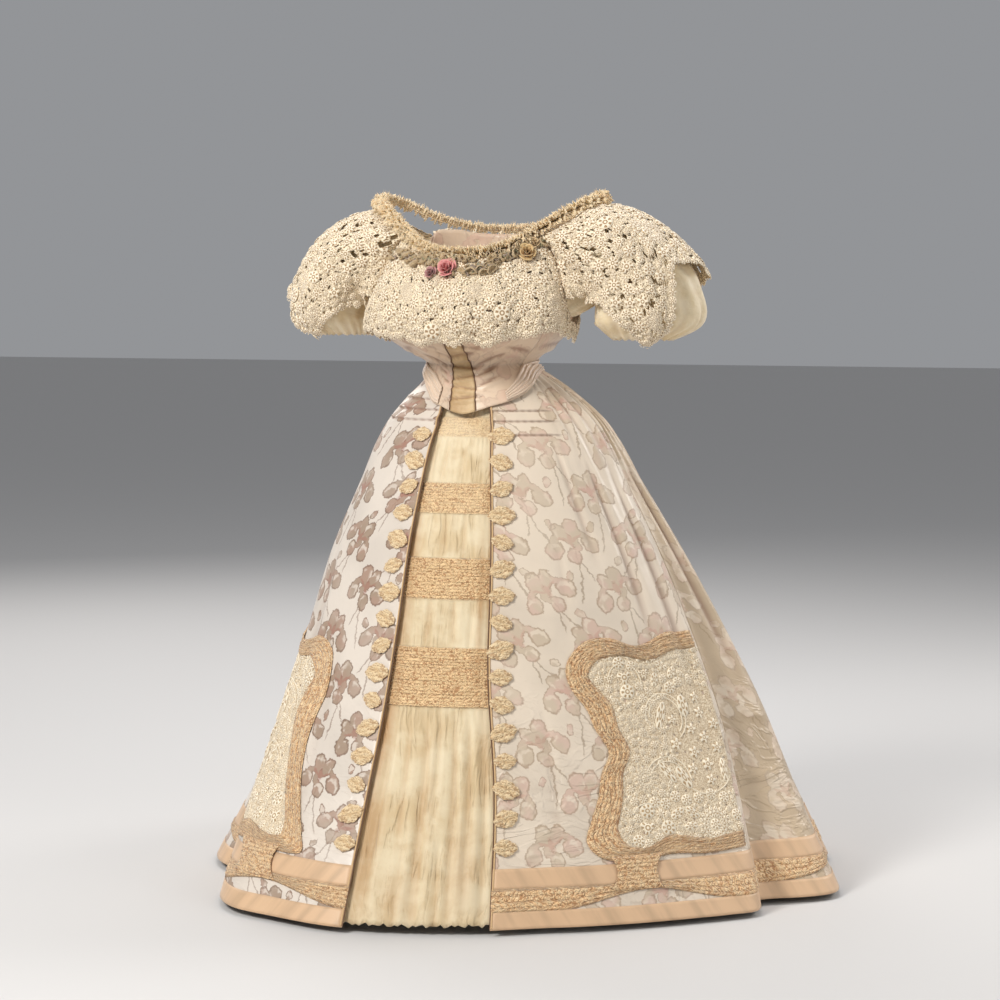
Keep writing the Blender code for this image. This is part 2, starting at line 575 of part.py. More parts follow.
def bodice_facet(column, height):
    """The point and outward direction on the bodice's flat facets, on one column of its grid."""
    heights = bodice_heights(column)
    i = int(np.clip(np.searchsorted(heights, height) - 1, 0, len(heights) - 2))
    share = (height - heights[i]) / (heights[i + 1] - heights[i])
    low, high = bodice_frame(column, heights[i]), bodice_frame(column, heights[i + 1])
    return low[0] * (1 - share) + high[0] * share, unit(low[1] * (1 - share) + high[1] * share)


# Bodice: gold vest with crosswise folds, brocade fronts, sides and backs that close down the centre back
BODICE_COLUMNS = {
    "bodice_vest": [-8, 0, 8],
    "bodice_front_left": [8, 15, 22, 31, 40, 48, 55, 61, 68],
    "bodice_side_left": [68, 76, 85, 95, 104, 112, 118],
    "bodice_back_left": [118, 130, 142, 155, 168, 180],
}
bodice_pieces = dict(BODICE_COLUMNS)
for name, columns in BODICE_COLUMNS.items():
    if name.endswith("left"):
        bodice_pieces[name.replace("left", "right")] = [-c for c in columns[::-1]]
for name, columns in bodice_pieces.items():
    colour = CHIFFON_COLOUR if name == "bodice_vest" else BROCADE_COLOUR
    rows = zip(*(bodice_heights(c) for c in columns))
    frames = [[bodice_frame(c, height) for c, height in zip(columns, heights)] for heights in rows]
    outer = np.array([[p for p, _ in row] for row in frames])
    inner = np.array([[p - n * BROCADE for p, n in row] for row in frames])
    cloth_wall(name, cut_seams(outer), cut_seams(inner), colour, 0.42)

# Waistband of the overskirt and underskirt, inside the bodice
WAISTBAND_WIDTH = 0.024
waist = np.array([bodice_surface(angle, 0.0) for angle in range(-180, 180, 15)])
towards_body = -waist / np.linalg.norm(waist, axis=1, keepdims=True)
band = []
for inset in (0.0021, 0.0021 + BROCADE + SEAM):
    ring = waist + towards_body * inset
    band.append([ring + (0, 0, height) for height in (SEAM, WAISTBAND_WIDTH)])
cloth_wall("skirt_waistband", band[0], band[1], BROCADE_COLOUR, 0.45, ring=True)

# Sash: folded satin drawn round the waist from each side of the vest to the centre back
SashEdge = namedtuple("SashEdge", "angle top")
LEFT_SASH = [SashEdge(26, -0.062), SashEdge(40, -0.034), SashEdge(52, -0.016), SashEdge(70, 0.001),
             SashEdge(100, 0.008), SashEdge(180, 0.010)]
RIGHT_SASH = [SashEdge(22, -0.044), SashEdge(40, -0.018), SashEdge(60, -0.004), SashEdge(80, 0.004),
              SashEdge(110, 0.008), SashEdge(180, 0.010)]
SASH_FOLDS = (0.0, 0.0032, 0.0006, 0.0034, 0.0)
SASH_COLUMNS = [22, 31, 40, 48, 55, 61, 68, 76, 85, 95, 104, 112, 118, 130, 142, 155, 168, 180]
for side, way, rows, start in (("left", 1, LEFT_SASH, 31), ("right", -1, RIGHT_SASH, 22)):
    sash_top = curve_through(rows, "top")
    columns = [way * angle for angle in SASH_COLUMNS if angle >= start]
    outer, inner = [], []
    for k, fold in enumerate(SASH_FOLDS):
        share = k / (len(SASH_FOLDS) - 1)
        frames = []
        for column in columns:
            bottom = bodice_bottom(column) + 0.002
            frames.append(bodice_facet(column, bottom + (sash_top(abs(column)) - bottom) * share))
        outer.append([p + n * (0.0008 + SATIN + fold) for p, n in frames])
        inner.append([p + n * 0.0008 for p, n in frames])
    outer, inner = (cut_seams(np.array(wall), left=False) for wall in (outer, inner))
    cloth_wall(f"sash_{side}", outer, inner, BROCADE_COLOUR, 0.35)

# Sleeves: short chiffon puffs from the armhole over the upper arm, drawn in to an open cuff
SleeveRing = namedtuple("SleeveRing", "length across height tilt half_height half_depth")
LEFT_SLEEVE = [
    SleeveRing(0.22, 0.272, 0.212, 18, 0.090, 0.100),
    SleeveRing(0.45, 0.318, 0.180, 51, 0.093, 0.104),
    SleeveRing(0.70, 0.345, 0.125, 70, 0.108, 0.106),
    SleeveRing(0.88, 0.350, 0.078, 88, 0.102, 0.094),
    SleeveRing(1.00, 0.336, 0.050, 90, 0.057, 0.057),
]
RIGHT_SLEEVE = [
    SleeveRing(0.22, 0.252, 0.205, 17, 0.080, 0.098),
    SleeveRing(0.45, 0.284, 0.172, 50, 0.080, 0.102),
    SleeveRing(0.70, 0.300, 0.125, 69, 0.078, 0.102),
    SleeveRing(0.88, 0.303, 0.084, 86, 0.080, 0.085),
    SleeveRing(1.00, 0.290, 0.056, 90, 0.056, 0.056),
]
ShoulderPoint = namedtuple("ShoulderPoint", "turn across front height")
SHOULDER = [  # the sleeve's first ring over the shoulder, between the bodice's front and back edges
    ShoulderPoint(-90, 0.150, -0.062, 0.250), ShoulderPoint(-45, 0.200, -0.052, 0.284),
    ShoulderPoint(0, 0.218, -0.004, 0.298), ShoulderPoint(45, 0.200, 0.050, 0.280),
    ShoulderPoint(90, 0.150, 0.066, 0.250),
]
SLEEVE_TURNS = [0, 28, 58, 90, 116, 148, 180, 212, 244, 270, 302, 332]


def sleeve_start(way, turn):
    """A point of the armhole ring; turn 0 is over the shoulder, 90 the front, 180 under the arm."""
    if 90 <= turn <= 270:
        angle = way * (61 + (118 - 61) * (turn - 90) / 180)
        point, normal = bodice_frame(angle, bodice_top(angle) - 0.006)
        return point + normal * (0.0025 + CHIFFON)
    over = turn if turn < 180 else turn - 360
    front, back = sleeve_start(way, 90), sleeve_start(way, 270)
    across, depth, height = (curve_through(SHOULDER, key)(-over) for key in ("across", "front", "height"))
    middle = np.array([LEAN + way * across, depth, height])
    pull = ease((abs(over) - 45) / 45)
    return middle * (1 - pull) + (front if over > 0 else back) * pull


def sleeve_surface(way, turn, length):
    rows = LEFT_SLEEVE if way > 0 else RIGHT_SLEEVE
    read = {key: curve_through(rows, key)(max(length, 0.22)) for key in SleeveRing._fields[1:]}
    tilt, a = math.radians(read["tilt"]), math.radians(turn)
    outward = np.array([way * math.sin(tilt), 0.0, math.cos(tilt)])
    ring = np.array([way * read["across"], 0.0, read["height"]])
    ring = ring + outward * read["half_height"] * math.cos(a)
    ring = ring + np.array([0.0, -read["half_depth"] * math.sin(a), 0.0])
    blend = ease(length / 0.30)
    return sleeve_start(way, turn) * (1 - blend) + ring * blend


def sleeve_frame(way, turn, length):
    across = sleeve_surface(way, turn + 2, length) - sleeve_surface(way, turn - 2, length)
    low, high = max(0.0, length - 0.01), min(1.0, length + 0.01)
    along = sleeve_surface(way, turn, high) - sleeve_surface(way, turn, low)
    return sleeve_surface(way, turn, length), unit(np.cross(across, along)) * way


for side, way in (("left", 1), ("right", -1)):
    outer, inner = [], []
    for k, length in enumerate((0.0, 0.10, 0.22, 0.36, 0.52, 0.70, 0.86, 0.95, 1.0)):
        swell = 0.0 if length in (0.0, 1.0) else 0.0012
        frames = [sleeve_frame(way, turn, length) for turn in SLEEVE_TURNS]
        lifts = [swell * (-1) ** j * ease((abs(length - 0.5) - 0.2) / 0.3) for j in range(len(frames))]
        outer.append([p + n * lift for (p, n), lift in zip(frames, lifts)])
        inner.append([p + n * (lift - CHIFFON) for (p, n), lift in zip(frames, lifts)])
    cloth_wall(f"sleeve_{side}", outer, inner, CHIFFON_COLOUR, 0.6, ring=True)

# Lace bertha: cotton lace from the neckline over the bust and back, cut through between its flowers
LaceEdge = namedtuple("LaceEdge", "angle low")
BERTHA_LOW = [
    LaceEdge(0, 0.040), LaceEdge(14, 0.050), LaceEdge(26, 0.041), LaceEdge(40, 0.054), LaceEdge(54, 0.060),
    LaceEdge(66, 0.072), LaceEdge(80, 0.062), LaceEdge(100, 0.050), LaceEdge(118, 0.062),
    LaceEdge(140, 0.052), LaceEdge(160, 0.062), LaceEdge(180, 0.052),
]
bertha_low = curve_through(BERTHA_LOW, "low")
BUST_LEVEL = 0.13


def bertha_surface(column, share):
    """The lace's inner face: share 0 is the neckline or armhole, 1 the scalloped lower edge."""
    under_arm = ease((abs(column) - 55) / 8) * ease((124 - abs(column)) / 8)
    top, low = bodice_top(column) - 0.002 - 0.020 * under_arm, bertha_low(abs(column))
    height = top + (low - top) * share
    point, normal = bodice_frame(column, height)
    if height < BUST_LEVEL:
        bust, _ = bodice_frame(column, BUST_LEVEL)
        point[:2] += (bust[:2] - point[:2]) * 0.55
    lift = 0.0018 + 0.0040 * under_arm + share ** 0.7 * (0.011 - 0.006 * under_arm)
    side_flare = 0.024 if column < 0 else 0.010
    lift += side_flare * ease((abs(column) - 46) / 16) * ease((82 - abs(column)) / 12) * share
    ruffle = 0.0045 * (1 - 0.6 * under_arm) * share * math.sin(math.radians(column * 13))
    return point + np.array([normal[0], normal[1], 0.3 * normal[2]]) * (lift + ruffle)


def lace_grid(surface, columns, shares, way=1):
    inner = np.array([[surface(c, s) for c in columns] for s in shares])
    across = np.gradient(inner, axis=1)
    down = np.gradient(inner, axis=0)
    normals = np.cross(down, across) * way
    normals /= np.linalg.norm(normals, axis=2, keepdims=True)
    return inner + normals * LACE, inner


LACE_SHARES = [0.0, 0.19, 0.235, 0.43, 0.48, 0.68, 0.73, 1.0]


def lace_gaps(columns, shares):
    """The cells where a narrow column crosses a narrow row, which are the holes between the flowers."""
    narrow = [j for j in range(len(columns) - 1) if abs(columns[j + 1] - columns[j]) < 3.2]
    slim = [i for i in range(len(shares) - 1) if abs(shares[i + 1] - shares[i]) < 0.06]
    return {(i, j) for i in slim for j in narrow}


for name, columns in (
    ("bertha_front_left", [0, 9, 11.5, 20, 22.5, 31, 33.5, 42, 44.5, 53, 55.5, 64, 66.5, 77, 88]),
    ("bertha_back_left", [88, 99, 110, 121, 123.5, 136, 138.5, 151, 153.5, 167, 180]),
):
    for side, way in (("left", 1), ("right", -1)):
        placed = columns if way > 0 else [-c for c in columns[::-1]]
        outer, inner = lace_grid(bertha_surface, placed, LACE_SHARES)
        cloth_wall(name.replace("left", side), cut_seams(outer), cut_seams(inner), LACE_COLOUR, 0.7,
                   gaps=lace_gaps(placed, LACE_SHARES))

# Lace caps over the sleeves
CapEdge = namedtuple("CapEdge", "turn length")
LEFT_CAP = [CapEdge(-110, 0.70), CapEdge(-80, 0.76), CapEdge(-40, 0.70), CapEdge(0, 0.66), CapEdge(30, 0.64),
            CapEdge(55, 0.80), CapEdge(80, 0.93), CapEdge(110, 0.84)]
RIGHT_CAP = [CapEdge(-110, 0.70), CapEdge(-80, 0.78), CapEdge(-40, 0.72), CapEdge(0, 0.74), CapEdge(30, 0.82),
             CapEdge(55, 0.91), CapEdge(80, 0.90), CapEdge(110, 0.74)]
CAP_TURNS = [-108, -92, -76, -60, -57, -41, -25, -22, -6, 10, 13, 29, 45, 48, 64, 80, 83, 96, 110]
CAP_SHARES = [0.0, 0.09, 0.20, 0.245, 0.43, 0.48, 0.72, 1.0]
for side, way, rows in (("left", 1, LEFT_CAP), ("right", -1, RIGHT_CAP)):
    cap_length = curve_through(rows, "length")

    def cap_surface(turn, share):
        length = 0.02 + (cap_length(turn) - 0.02) * share
        point, normal = sleeve_frame(way, turn, length)
        ruffle = 0.004 * share * math.sin(math.radians(turn * 11)) + 0.0025 * ease((abs(turn) - 50) / 20)
        tip = (0.004 if way > 0 else 0.020) * share ** 4 * ease(1 - abs(turn) / 36)
        return point + normal * (0.0030 + 0.0085 * ease(share / 0.11) + 0.006 * share + ruffle + tip)

    outer, inner = lace_grid(cap_surface, CAP_TURNS, CAP_SHARES, -way)
    cloth_wall(f"lace_sleeve_{side}", outer, inner, LACE_COLOUR, 0.7, gaps=lace_gaps(CAP_TURNS, CAP_SHARES))

# Neck ruche: frayed chiffon gathered along the neckline, in a half for each side of the body
NeckPoint = namedtuple("NeckPoint", "place across front height")
NECK = [
    NeckPoint(0, 0.000, -0.1430, 0.211), NeckPoint(1, 0.049, -0.1365, 0.215),
    NeckPoint(2, 0.088, -0.1215, 0.227), NeckPoint(3, 0.127, -0.0930, 0.251),
    NeckPoint(4, 0.168, -0.0660, 0.281), NeckPoint(5, 0.210, -0.0250, 0.310),
    NeckPoint(6, 0.226, 0.0200, 0.322), NeckPoint(7, 0.200, 0.0600, 0.312),
    NeckPoint(8, 0.150, 0.0850, 0.287), NeckPoint(9, 0.100, 0.1020, 0.271),
    NeckPoint(10, 0.050, 0.1160, 0.262), NeckPoint(11, 0.000, 0.1200, 0.260),
]
RUCHE_RADIUS = 0.0075


def neck_point(way, place):
    across, front, height = (curve_through(NECK, key)(place) for key in ("across", "front", "height"))
    return np.array([LEAN + way * across, front, height + RUCHE_RADIUS + 0.0013])


for side, way in (("left", 1), ("right", -1)):
    rings = []
    for k, place in enumerate(np.linspace(0.0, 11.0, 21)):
        centre = neck_point(way, place)
        ahead = unit(neck_point(way, min(place + 0.1, 11.0)) - neck_point(way, max(place - 0.1, 0.0)))
        if k in (0, 20):
            ahead = np.array([float(way if k == 0 else -way), 0.0, 0.0])
            centre = centre + ahead * SEAM * (1 if k == 0 else -1)
        out = unit(np.cross(ahead, (0, 0, 1.0)))
        up = np.cross(out, ahead)
        radius = RUCHE_RADIUS * (0.82 if k % 2 else 1.0)
        rings.append([centre + (out * math.cos(a) + up * math.sin(a)) * radius
                      for a in np.radians(range(30, 390, 60))])
    vertices = [p for ring in rings for p in ring]
    faces = [tuple(range(6)), tuple(6 * 20 + k for k in range(6))[::-1]]
    for i in range(20):
        for j in range(6):
            a, b = 6 * i + j, 6 * i + (j + 1) % 6
            faces += [(a, b, b + 6), (a, b + 6, a + 6)]
    make_object(f"neck_ruche_{side}", vertices, faces, RUCHE_COLOUR, 0.85)

# Silk roses on the lace just under the neckline
Rose = namedtuple("Rose", "name column share size colour")
ROSES = [
    Rose("rose_pink", -9, 0.14, 0.0150, (0.66, 0.20, 0.20)),
    Rose("rose_mauve", -22, 0.20, 0.0105, (0.50, 0.28, 0.27)),
    Rose("rose_yellow", 51, 0.13, 0.0145, (0.62, 0.45, 0.20)),
    Rose("rose_bud", 55.5, 0.08, 0.0100, (0.66, 0.55, 0.33)),
]
RoseRing = namedtuple("RoseRing", "radius rise")
ROSE_RINGS = [RoseRing(0.34, 0.0), RoseRing(0.90, 0.38), RoseRing(1.0, 0.62), RoseRing(0.55, 0.80)]
PETALS = 8
for rose in ROSES:
    base, inward = surface_frame(bertha_surface, rose.column, rose.share, 1.0, 0.03)
    out = inward if np.dot(inward, base * (1, 1, 0)) > 0 else -inward
    base = base + out * (LACE + 0.0007)
    across = unit(np.cross(out, (0, 0, 1.0)))
    up = np.cross(across, out)
    vertices = []
    for row, ring in enumerate(ROSE_RINGS):
        for k in range(PETALS):
            a = 2 * math.pi * (k + 0.5 * (row % 2)) / PETALS
            radius = rose.size * ring.radius * (1.0 if k % 2 or row == 0 else 0.9)
            vertices.append(base + out * rose.size * ring.rise
                            + (across * math.cos(a) + up * math.sin(a)) * radius)
    faces = [tuple(range(PETALS)), tuple(3 * PETALS + k for k in range(PETALS))[::-1]]
    for i in range(len(ROSE_RINGS) - 1):
        for k in range(PETALS):
            a, b = PETALS * i + k, PETALS * i + (k + 1) % PETALS
            faces += [(a, b, b + PETALS), (a, b + PETALS, a + PETALS)]
    make_object(rose.name, vertices, faces, rose.colour, 0.6)
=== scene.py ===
"""The looks of a ball gown of about 1895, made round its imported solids.

Metres, +Z up. The front faces -Y and the wearer's left side is +X; the origin is the centre of the waist.
Angles go round the body in degrees from the centre front. "Drop" is the distance below the waist.
"""

import math
from collections import namedtuple
from functools import reduce

import bpy
import numpy as np
from mathutils import Matrix, Vector


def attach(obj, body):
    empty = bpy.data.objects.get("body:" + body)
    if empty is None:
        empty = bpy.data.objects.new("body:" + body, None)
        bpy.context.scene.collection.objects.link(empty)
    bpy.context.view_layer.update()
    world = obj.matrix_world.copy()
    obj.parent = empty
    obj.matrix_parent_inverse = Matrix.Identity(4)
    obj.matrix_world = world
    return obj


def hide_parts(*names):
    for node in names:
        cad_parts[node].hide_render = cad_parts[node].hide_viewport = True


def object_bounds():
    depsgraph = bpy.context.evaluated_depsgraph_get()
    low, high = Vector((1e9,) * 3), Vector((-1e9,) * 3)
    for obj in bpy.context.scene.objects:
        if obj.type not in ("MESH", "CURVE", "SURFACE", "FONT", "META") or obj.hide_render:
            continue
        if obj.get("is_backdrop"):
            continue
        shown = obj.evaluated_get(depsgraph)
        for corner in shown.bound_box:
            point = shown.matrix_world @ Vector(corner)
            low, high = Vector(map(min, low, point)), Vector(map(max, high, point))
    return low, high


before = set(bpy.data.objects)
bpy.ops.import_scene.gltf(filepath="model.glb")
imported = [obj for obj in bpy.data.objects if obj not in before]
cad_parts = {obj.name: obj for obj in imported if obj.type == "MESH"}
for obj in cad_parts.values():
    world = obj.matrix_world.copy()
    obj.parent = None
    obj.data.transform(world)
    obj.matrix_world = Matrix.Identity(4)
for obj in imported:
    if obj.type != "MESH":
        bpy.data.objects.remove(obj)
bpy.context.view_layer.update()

# Stage: a plain pale floor under the hem, a pale room, and soft studio light from the front.
# The camera stands 20 degrees round to the wearer's left, level with the bust, and looks a little down.
FLOOR_LEVEL = -1.03
CAMERA_AZIMUTH = math.radians(20)
CAMERA_DISTANCE = 5.2
CAMERA_ASIDE = 0.036
CAMERA_HEIGHT = 0.17
CAMERA_PITCH = math.radians(4.88)


def in_scene(name, data):
    """A new object in the scene."""
    thing = bpy.data.objects.new(name, data)
    bpy.context.scene.collection.objects.link(thing)
    return thing


toward_camera = Vector((math.sin(CAMERA_AZIMUTH), -math.cos(CAMERA_AZIMUTH), 0))
camera_right = Vector((math.cos(CAMERA_AZIMUTH), math.sin(CAMERA_AZIMUTH), 0))
up = Vector((0, 0, 1))
camera_data = bpy.data.cameras.new("camera")
camera_data.sensor_width = 36
camera_data.lens = 93.6
camera = in_scene("camera", camera_data)
camera.location = toward_camera * CAMERA_DISTANCE + camera_right * CAMERA_ASIDE + up * CAMERA_HEIGHT
sight = -toward_camera * math.cos(CAMERA_PITCH) - up * math.sin(CAMERA_PITCH)
camera.rotation_euler = sight.to_track_quat("-Z", "Y").to_euler()
bpy.context.scene.camera = camera
bpy.context.scene.view_settings.view_transform = "Standard"

bpy.ops.mesh.primitive_plane_add(size=60, location=(0, 0, FLOOR_LEVEL))
floor = bpy.context.object
floor.name = "floor"
floor_material = bpy.data.materials.new("pale_floor")
floor_material.use_nodes = True
floor_material.node_tree.nodes["Principled BSDF"].inputs["Base Color"].default_value = (0.62, 0.61, 0.6, 1)
floor_material.node_tree.nodes["Principled BSDF"].inputs["Roughness"].default_value = 0.85
floor.data.materials.append(floor_material)
floor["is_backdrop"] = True

room = bpy.data.worlds.new("room")
room.use_nodes = True
room.node_tree.nodes["Background"].inputs["Color"].default_value = (0.86, 0.88, 0.92, 1)
room.node_tree.nodes["Background"].inputs["Strength"].default_value = 0.34
bpy.context.scene.world = room

Lamp = namedtuple("Lamp", "name aside ahead height size power colour")
for lamp in (
    Lamp("key_light", -2.6, 2.6, 2.4, 1.3, 165, (1.0, 0.975, 0.94)),
    Lamp("fill_light", 3.0, 2.6, 1.2, 2.4, 30, (1.0, 0.96, 0.91)),
    Lamp("top_light", 0.4, -1.2, 3.4, 2.2, 60, (0.98, 0.98, 1.0)),
    Lamp("side_light", 3.4, -1.4, 1.6, 1.4, 60, (1.0, 0.97, 0.94)),
    Lamp("back_light", -1.6, -4.2, 2.2, 2.4, 70, (1.0, 0.97, 0.94)),
):
    light = bpy.data.lights.new(lamp.name, "AREA")
    light.size, light.energy, light.color = lamp.size, lamp.power, lamp.colour
    holder = in_scene(lamp.name, light)
    holder.location = camera_right * lamp.aside + toward_camera * lamp.ahead + up * lamp.height
    aim = Vector((0, 0, -0.25)) - holder.location
    holder.rotation_euler = aim.to_track_quat("-Z", "Y").to_euler()

# The skirt's cut: the surface that the overskirt's gores, the underskirt and all the skirt's trims lie on.
# A line of the cloth is named by its angle at the hem; it leans as the flared gores make it lean.
HEM = 1.018
SIDES = (("left", 1), ("right", -1))  # the wearer's sides and their way along X


def table(row_type, *rows):
    """Rows of one kind, each value with its name."""
    return [row_type(*row) for row in rows]


Section = namedtuple("Section", "drop half_width half_depth back_shift side_shift")
SKIRT_SECTIONS = table(Section, (0, 0.1045, 0.0885, 0, 0), (0.034, 0.137, 0.112, 0.014, 0.014),
    (0.074, 0.182, 0.135, 0.022, 0.018), (0.114, 0.22, 0.16, 0.03, 0.02), (0.154, 0.245, 0.186, 0.034, 0.021),
    (0.234, 0.279, 0.238, 0.05, 0.024), (0.354, 0.336, 0.311, 0.072, 0.029), (0.514, 0.4, 0.397, 0.105, 0.037),
    (0.674, 0.462, 0.48, 0.126, 0.042), (0.834, 0.52, 0.56, 0.127, 0.045), (1.018, 0.6, 0.646, 0.121, 0.045))
Flute = namedtuple("Flute", "angle hem_radius")
SKIRT_FLUTES = table(Flute, (-194, 0.69), (-180, 0.63), (-166, 0.69), (-152, 0.62), (-138, 0.67), (-124, 0.605),
    (-110, 0.64), (-96, 0.59), (-82, 0.625), (-70, 0.632), (-62, 0.615), (-55, 0.58), (-48, 0.612), (-40, 0.68),
    (-32, 0.714), (-22, 0.705), (-9, 0.697), (2, 0.668), (14, 0.637), (21, 0.618), (30, 0.612), (41, 0.614),
    (50, 0.624), (57, 0.64), (62.5, 0.65), (65.5, 0.628), (68, 0.602), (71, 0.612), (75, 0.652), (80, 0.688),
    (86, 0.675), (93, 0.63), (100, 0.6), (112, 0.632), (125, 0.595), (138, 0.665), (152, 0.62), (166, 0.69),
    (180, 0.63), (194, 0.69))
FLUTES_START = 0.05
Grain = namedtuple("Grain", "drop right_back right_side right_fold right_edge left_edge left_fold left_back")
SKIRT_GRAIN = table(Grain, (0, -124, -92, -70, -25, 15.5, 84, 125), (0.11, -124, -89, -69, -23, 16.5, 81.5, 125),
    (0.22, -124, -86, -68, -19.5, 15, 79.5, 125), (0.34, -124, -80, -63, -16.5, 14, 77, 125),
    (0.55, -124, -72, -53, -13.5, 11.5, 73, 125), (0.8, -124, -63, -42, -11, 13.5, 68.5, 125),
    (1.018, -124, -55, -32, -9, 14, 62.5, 125))
RIGHT_BACK_SEAM, RIGHT_SIDE_SEAM, RIGHT_EDGE = -124, -55, -9
LEFT_EDGE, LEFT_SIDE_SEAM, LEFT_BACK_SEAM = 14, 68, 125
RIGHT_TUCKS = (0.067, 0.087, 0.107)
LEFT_TUCKS = (0.087, 0.107, 0.133)


def smooth_curve(places, values):
    """A smooth curve through these values, flat beyond its two ends."""
    places, values = np.array(places, float), np.array(values, float)
    slopes = np.gradient(values, places)

    def value(x):
        i = np.clip(np.searchsorted(places, x) - 1, 0, len(places) - 2)
        step = places[i + 1] - places[i]
        t = np.clip((x - places[i]) / step, 0.0, 1.0)
        return (
            values[i] * (1 + 2 * t) * (1 - t) ** 2
            + slopes[i] * step * t * (1 - t) ** 2
            + values[i + 1] * t * t * (3 - 2 * t)
            - slopes[i + 1] * step * t * t * (1 - t)
        )

    return value


def curves_through(rows):
    """A smooth curve through each column of a table but the first, which they are read by."""
    places, *columns = zip(*rows)
    return [smooth_curve(places, column) for column in columns]


def ease(x):
    """0 below 0, 1 above 1, and a smooth rise between."""
    t = np.clip(x, 0.0, 1.0)
    return t * t * (3 - 2 * t)


def unit(vectors):
    return vectors / np.maximum(np.linalg.norm(vectors, axis=-1, keepdims=True), 1e-12)


def ellipse_radius(angle, half_width, half_depth):
    """Distance from an ellipse's centre to its edge, in the direction of this angle from the front."""
    a = np.radians(angle)
    return 1.0 / np.hypot(np.sin(a) / half_width, np.cos(a) / half_depth)


section_half_width, section_half_depth, section_back_shift, section_side_shift = curves_through(SKIRT_SECTIONS)
hem_radius, = curves_through(SKIRT_FLUTES)
GRAIN_CURVES = curves_through(SKIRT_GRAIN)
GRAIN_NAMES = np.array([-194, -180, RIGHT_BACK_SEAM, RIGHT_SIDE_SEAM, -32, RIGHT_EDGE, LEFT_EDGE, 62.5,
                        LEFT_BACK_SEAM, 180, 194])
PLAIN_HEM = (SKIRT_SECTIONS[-1].half_width, SKIRT_SECTIONS[-1].half_depth)


def matched(first, second):
    """Two numbers or arrays as arrays of one shape."""
    return np.broadcast_arrays(np.asarray(first, float), np.asarray(second, float))


def skirt_angle(column, drop):
    """The angle at which a line of the cloth stands at this drop."""
    column, drop = matched(column, drop)
    ends = [np.full(drop.shape, end) for end in (-194.0, -180.0, 180.0, 194.0)]
    standing = np.stack([*ends[:2], *(curve(drop) for curve in GRAIN_CURVES), *ends[2:]])
    k = np.clip(np.searchsorted(GRAIN_NAMES, column) - 1, 0, len(GRAIN_NAMES) - 2)
    low, high = (np.take_along_axis(standing, (k + step)[None], 0)[0] for step in (0, 1))
    return low + (high - low) * (column - GRAIN_NAMES[k]) / (GRAIN_NAMES[k + 1] - GRAIN_NAMES[k])


def skirt_surface(column, drop):
    """The overskirt's outer face, with its flutes and without gathers, tucks or creases."""
    column, drop = matched(column, drop)
    angle = skirt_angle(column, drop)
    a = np.radians(angle)
    plain = ellipse_radius(angle, section_half_width(drop), section_half_depth(drop))
    fluting = np.maximum(0.0, (drop - FLUTES_START) / (HEM - FLUTES_START)) ** 0.8
    radius = plain * (1 + fluting * (hem_radius(column) / ellipse_radius(column, *PLAIN_HEM) - 1))
    back, side = section_back_shift(drop), section_side_shift(drop)
    return np.stack([side + radius * np.sin(a), back - radius * np.cos(a), -drop], axis=-1)


def surface_frame(surface, u, v, du, dv):
    """Points of a surface and their outward directions; u runs round the body and v runs down it."""
    across = surface(u + du, v) - surface(u - du, v)
    down = surface(u, v + dv) - surface(u, v - dv)
    return surface(u, v), unit(np.cross(down, across))


def skirt_frame(column, drop):
    return surface_frame(skirt_surface, column, drop, 0.4, 0.002)


def degree_width(column, drop):
    """How many metres one degree of column spans here."""
    near, far = skirt_surface(column - 0.5, drop), skirt_surface(column + 0.5, drop)
    return np.linalg.norm(far - near, axis=-1)


def grid_of(columns, rows):
    """Two arrays, one row of columns for each row."""
    return np.meshgrid(np.asarray(columns, float), np.asarray(rows, float))


def steps(start, end, widest):
    """Even steps from start to end, none wider than the widest."""
    return np.linspace(start, end, max(2, math.ceil(abs(end - start) / widest) + 1))


def flat_places(points):
    """Where each point of a grid of cloth lies when the cloth is flat: metres from its middle column."""
    aside = np.zeros(points.shape[:2])
    aside[:, 1:] = np.cumsum(np.linalg.norm(np.diff(points, axis=1), axis=2), axis=1)
    middle = points.shape[1] // 2
    aside -= aside[:, middle:middle + 1]
    down = np.zeros(points.shape[0])
    down[1:] = np.cumsum(np.linalg.norm(np.diff(points[:, middle], axis=0), axis=1))
    return np.stack([aside, np.repeat(-down[:, None], points.shape[1], axis=1)], axis=-1)


def make_mesh(name, vertices, faces, uvs, marks, tones, material):
    """One smooth mesh piece of the gown, with a UV map in metres of flat cloth, and a mark and a tone from 0 to 1."""
    mesh = bpy.data.meshes.new(name)
    mesh.from_pydata(vertices.tolist(), [], faces.tolist())
    mesh.materials.append(material)
    mesh.shade_smooth()
    layer = mesh.uv_layers.new(name="cloth")
    corners = np.zeros(len(mesh.loops), int)
    mesh.loops.foreach_get("vertex_index", corners)
    layer.data.foreach_set("uv", uvs[corners].ravel())
    for key, values in (("mark", marks), ("tone", tones)):
        mesh.attributes.new(key, "FLOAT", "POINT").data.foreach_set("value", values)
    return in_scene(name, mesh)


